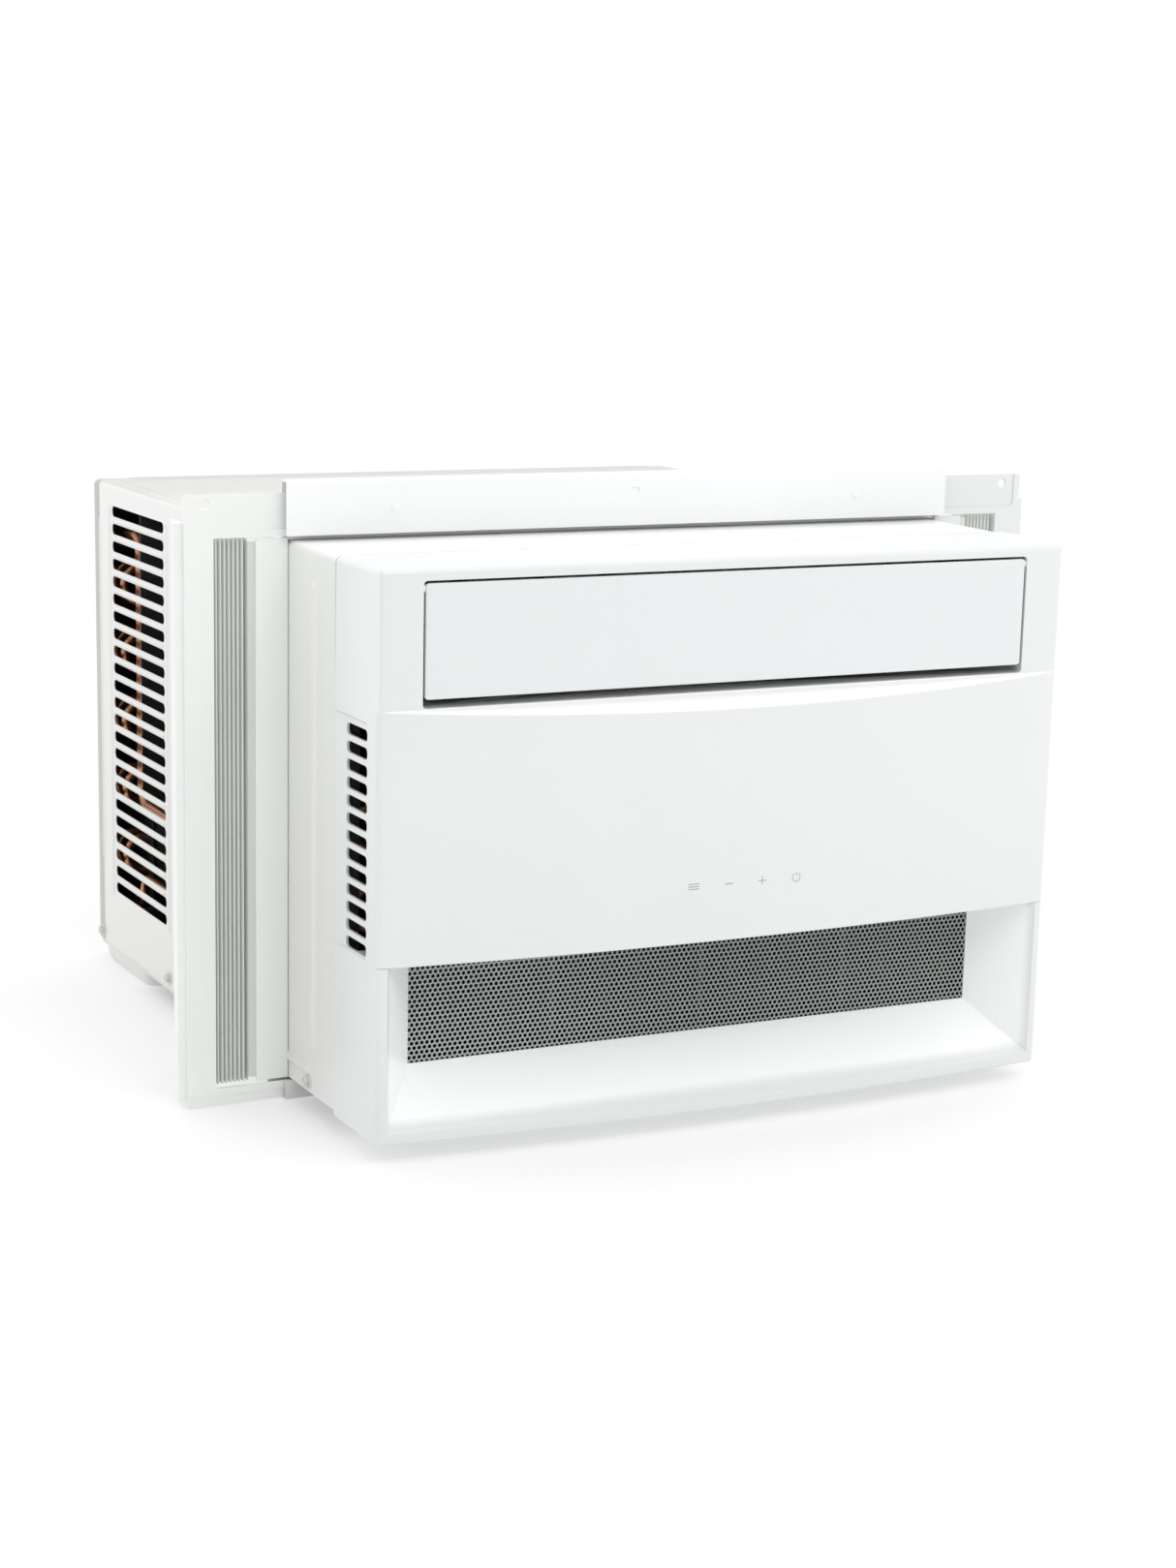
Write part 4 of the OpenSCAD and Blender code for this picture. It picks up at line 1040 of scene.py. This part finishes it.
def fan_blade(turn):
    """Curved, twisted blade from the hub out to the ring."""
    tip_r, mid_y, last_y = fan_r - 1.2 * MM, 277 * MM, 299 * MM
    rows, cols, thick = 12, 12, 1.6 * MM
    sheet_v = []
    for side in (-1, 1):
        for i in range(rows + 1):
            r = HUB_R + (tip_r - HUB_R) * i / rows
            share = i / rows
            width = math.radians(52 - 14 * share)
            lead = math.radians(10 * share)
            pitch = math.radians(34 - 14 * share)
            for j in range(cols + 1):
                c = j / cols - 0.5
                a = turn + lead + c * width
                camber = 3.5 * MM * (1 - 4 * c * c)
                y = mid_y - c * width * r * math.tan(pitch) * 0.55 + camber + side * thick / 2
                y = min(max(y, fan_low.y + 0.4 * MM), last_y)
                sheet_v.append((fan_x + r * math.cos(a), y, fan_z + r * math.sin(a)))
    n = (rows + 1) * (cols + 1)
    faces = []
    for i in range(rows):
        for j in range(cols):
            a = i * (cols + 1) + j
            faces.append((a, a + 1, a + cols + 2, a + cols + 1))
            faces.append((n + a, n + a + cols + 1, n + a + cols + 2, n + a + 1))
    side = cols + 1
    rim = list(range(side)) + [(i + 1) * side - 1 for i in range(1, rows + 1)]
    rim += [rows * side + j for j in range(cols - 1, -1, -1)] + [i * side for i in range(rows - 1, 0, -1)]
    for k, a in enumerate(rim):
        b = rim[(k + 1) % len(rim)]
        faces.append((a, b, n + b, n + a))
    return solid("blade", sheet_v, faces)


fan_parts = [fan_blade(2 * math.pi * k / 5) for k in range(5)]
for name, sides, profile in (
        ("hub", 48, [mm(r, y) for r, y in (
            (6, 262), (23, 262), (24, 263), (24, 286), (22, 290), (17, 292), (6, 292), (6, 262))]),
        ("ring", 96, [
            (fan_r - RING_T, RING_Y0), (fan_r - 0.3 * MM, RING_Y0), (fan_r, RING_Y0 + 0.4 * MM),
            (fan_r, RING_Y1 - 0.4 * MM), (fan_r - 0.3 * MM, RING_Y1), (fan_r - RING_T, RING_Y1),
            (fan_r - RING_T, RING_Y0)])):
    fan_parts.append(turned(name, (fan_x, 0, fan_z), (0, 1, 0), profile, sides))
settle(join("fan_rotor", fan_parts), "grey_plastic", "rotor", node="condenser_fan", angle=40)


# ---- filter cloth
cloth_low, cloth_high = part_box("filter_media")
cloth_y = (cloth_low.y + cloth_high.y) / 2
CELL_X, CELL_Z, GAP_X, GAP_Z, STRAND, PITCH = mm(104, 73, 108, 76.5, 0.28, 1.6)
verts, faces = [], []


def strand(x0, x1, z0, z1, y):
    """Flat thread of the cloth."""
    base = len(verts)
    verts.extend([(x0, y, z0), (x1, y, z0), (x1, y, z1), (x0, y, z1)])
    faces.append((base, base + 1, base + 2, base + 3))


for i in range(4):
    for k in range(3):
        x0, z0 = cloth_low.x + i * GAP_X, cloth_low.z + k * GAP_Z
        for n in range(int(CELL_X / PITCH)):
            x = x0 + (n + 0.5) * PITCH
            strand(x - STRAND / 2, x + STRAND / 2, z0, z0 + CELL_Z, cloth_y)
        for n in range(int(CELL_Z / PITCH)):
            z = z0 + (n + 0.5) * PITCH
            strand(x0, x0 + CELL_X, z - STRAND / 2, z + STRAND / 2, cloth_y + 0.15 * MM)
settle_sheet(plain("filter_cloth", verts, faces), "filter_mesh", "air_filter", "filter_media", 0.2 * MM)


# ---- CAD nodes that show as they are
# width in mm of the softened edges, where it isn't the usual one
USUAL_EDGE = 0.3
EDGE = {"discharge_duct": 0.8, "blower_scroll": 0.8, "drain_tray": 0.6, "filter_frame": 0.5, "bulkhead": 0.25,
        "motor_can": 1.5, "motor_bracket": 0.4, "run_capacitor": 1.2, "compressor_grommets": 1.0,
        "cord_gland": 0.5, "drain_plug": 0.5, "filter_drier": 1.5, "compressor_shell": 0.8,
        "blower_wheel": 0.2, "vane_link": 0.2}
# the fan shroud is painted near black, as painted shade
PAINTED_SHADE = {"fan_shroud": SHADOW_SHEET}
for part in frame["record"]["subparts"]:
    node = frame["nodes"][part["node"]]
    if node.hide_render:
        continue
    node.data.materials.clear()
    node.data.materials.append(PAINTED_SHADE.get(part["node"], FINISHES[part["material_slot"]]))
    node.data.shade_smooth()
    weld = node.modifiers.new("weld", "WELD")
    weld.merge_threshold = 1e-6
    soften(node, EDGE.get(part["node"], USUAL_EDGE) * MM, 2, 38)


# ---- floor, light and camera
SPAN = 6.0
corners = [(-SPAN, -SPAN, 0), (SPAN, -SPAN, 0), (SPAN, SPAN, 0), (-SPAN, SPAN, 0)]
floor = plain("floor", corners, [(0, 1, 2, 3)])
floor.location.z = -0.4 * MM
floor_paint = finish("floor_paint", (0.5, 0.5, 0.5), 0.7, mottle=0.004, grain=0.02, size=4.0, clouds=3.0)
# a light table: the floor glows a little, so shadows on it stay faint
glow = {"Emission Color": (1, 1, 1, 1), "Emission Strength": 0.43}
feed(floor_paint.node_tree, floor_paint.node_tree.nodes["Principled BSDF"], glow)
floor.data.materials.append(floor_paint)

world = bpy.data.worlds.new("studio")
world.use_nodes = True
scene.world = world
room = world.node_tree
# a white room, dimmer on the side that the front looks at and brighter overhead
direction = add(room, "SeparateXYZ", {"Vector": add(room, "TexCoord", {})["Generated"]})


def fade(axis, low, high, dim, bright):
    """Brightness that goes from dim to bright as the direction's axis goes from low to high."""
    return add(room, "MapRange", {"From Min": low, "From Max": high, "To Min": dim, "To Max": bright,
                                  "Value": direction[axis]})["Result"]


level, overhead = fade("Y", -1.0, 0.35, 0.48, 1.03), fade("Z", 0.3, 0.8, 1.0, 1.5)
brightness = add(room, "Math", {0: level, 1: overhead}, "MULTIPLY")["Value"]
feed(room, room.nodes["Background"], {"Color": brightness})


def softbox(name, place, aim, width, height, power):
    """Rectangular lamp at a place, turned to what it lights."""
    light = bpy.data.lights.new(name, "AREA")
    light.shape = "RECTANGLE"
    light.size, light.size_y = width, height
    light.energy = power
    obj = bpy.data.objects.new(name, light)
    obj.location = place
    obj.rotation_mode = "QUATERNION"
    obj.rotation_quaternion = (Vector(aim) - Vector(place)).to_track_quat("-Z", "Y")
    scene.collection.objects.link(obj)


softbox("front", (0.1, -1.7, 2.0), (0, -0.1, 0.2), 1.6, 1.0, 13)
softbox("key", (0.95, -1.0, 0.75), (0.2, -0.15, 0.2), 0.7, 0.7, 2)

# the camera's lens in mm on a 36 mm sensor, its shift, its angles, and how far it stands from its aim
LENS, SHIFT_X, SHIFT_Y = 68.6357, -0.00937, 0.060525
YAW, PITCH_DOWN, ROLL = map(math.radians, (27.238, 13.141, 1.430))
STAND_RIGHT, STAND_UP, STAND_BACK = mm(-13.662, -63.933, 2009.766)
aim_at = Vector((0, 0, 192 * MM))
run = math.cos(PITCH_DOWN)
ahead = Vector((math.sin(YAW) * run, math.cos(YAW) * run, -math.sin(PITCH_DOWN)))
right = Vector((math.cos(YAW), -math.sin(YAW), 0))
up = right.cross(ahead)
tilted_right = right * math.cos(ROLL) + up * math.sin(ROLL)
tilted_up = up * math.cos(ROLL) - right * math.sin(ROLL)
eye = aim_at + tilted_right * STAND_RIGHT + tilted_up * STAND_UP - ahead * STAND_BACK
camera_data = bpy.data.cameras.new("camera")
camera_data.sensor_width = 36.0
camera_data.lens = LENS
camera_data.shift_x = SHIFT_X
camera_data.shift_y = SHIFT_Y
camera_data.clip_start = 0.05
camera_data.clip_end = 50.0
camera = bpy.data.objects.new("camera", camera_data)
turned_to = Matrix((tilted_right, tilted_up, -ahead)).transposed()
camera.matrix_world = Matrix.Translation(eye) @ turned_to.to_4x4()
scene.collection.objects.link(camera)
scene.camera = camera
scene.view_settings.view_transform = "Standard"
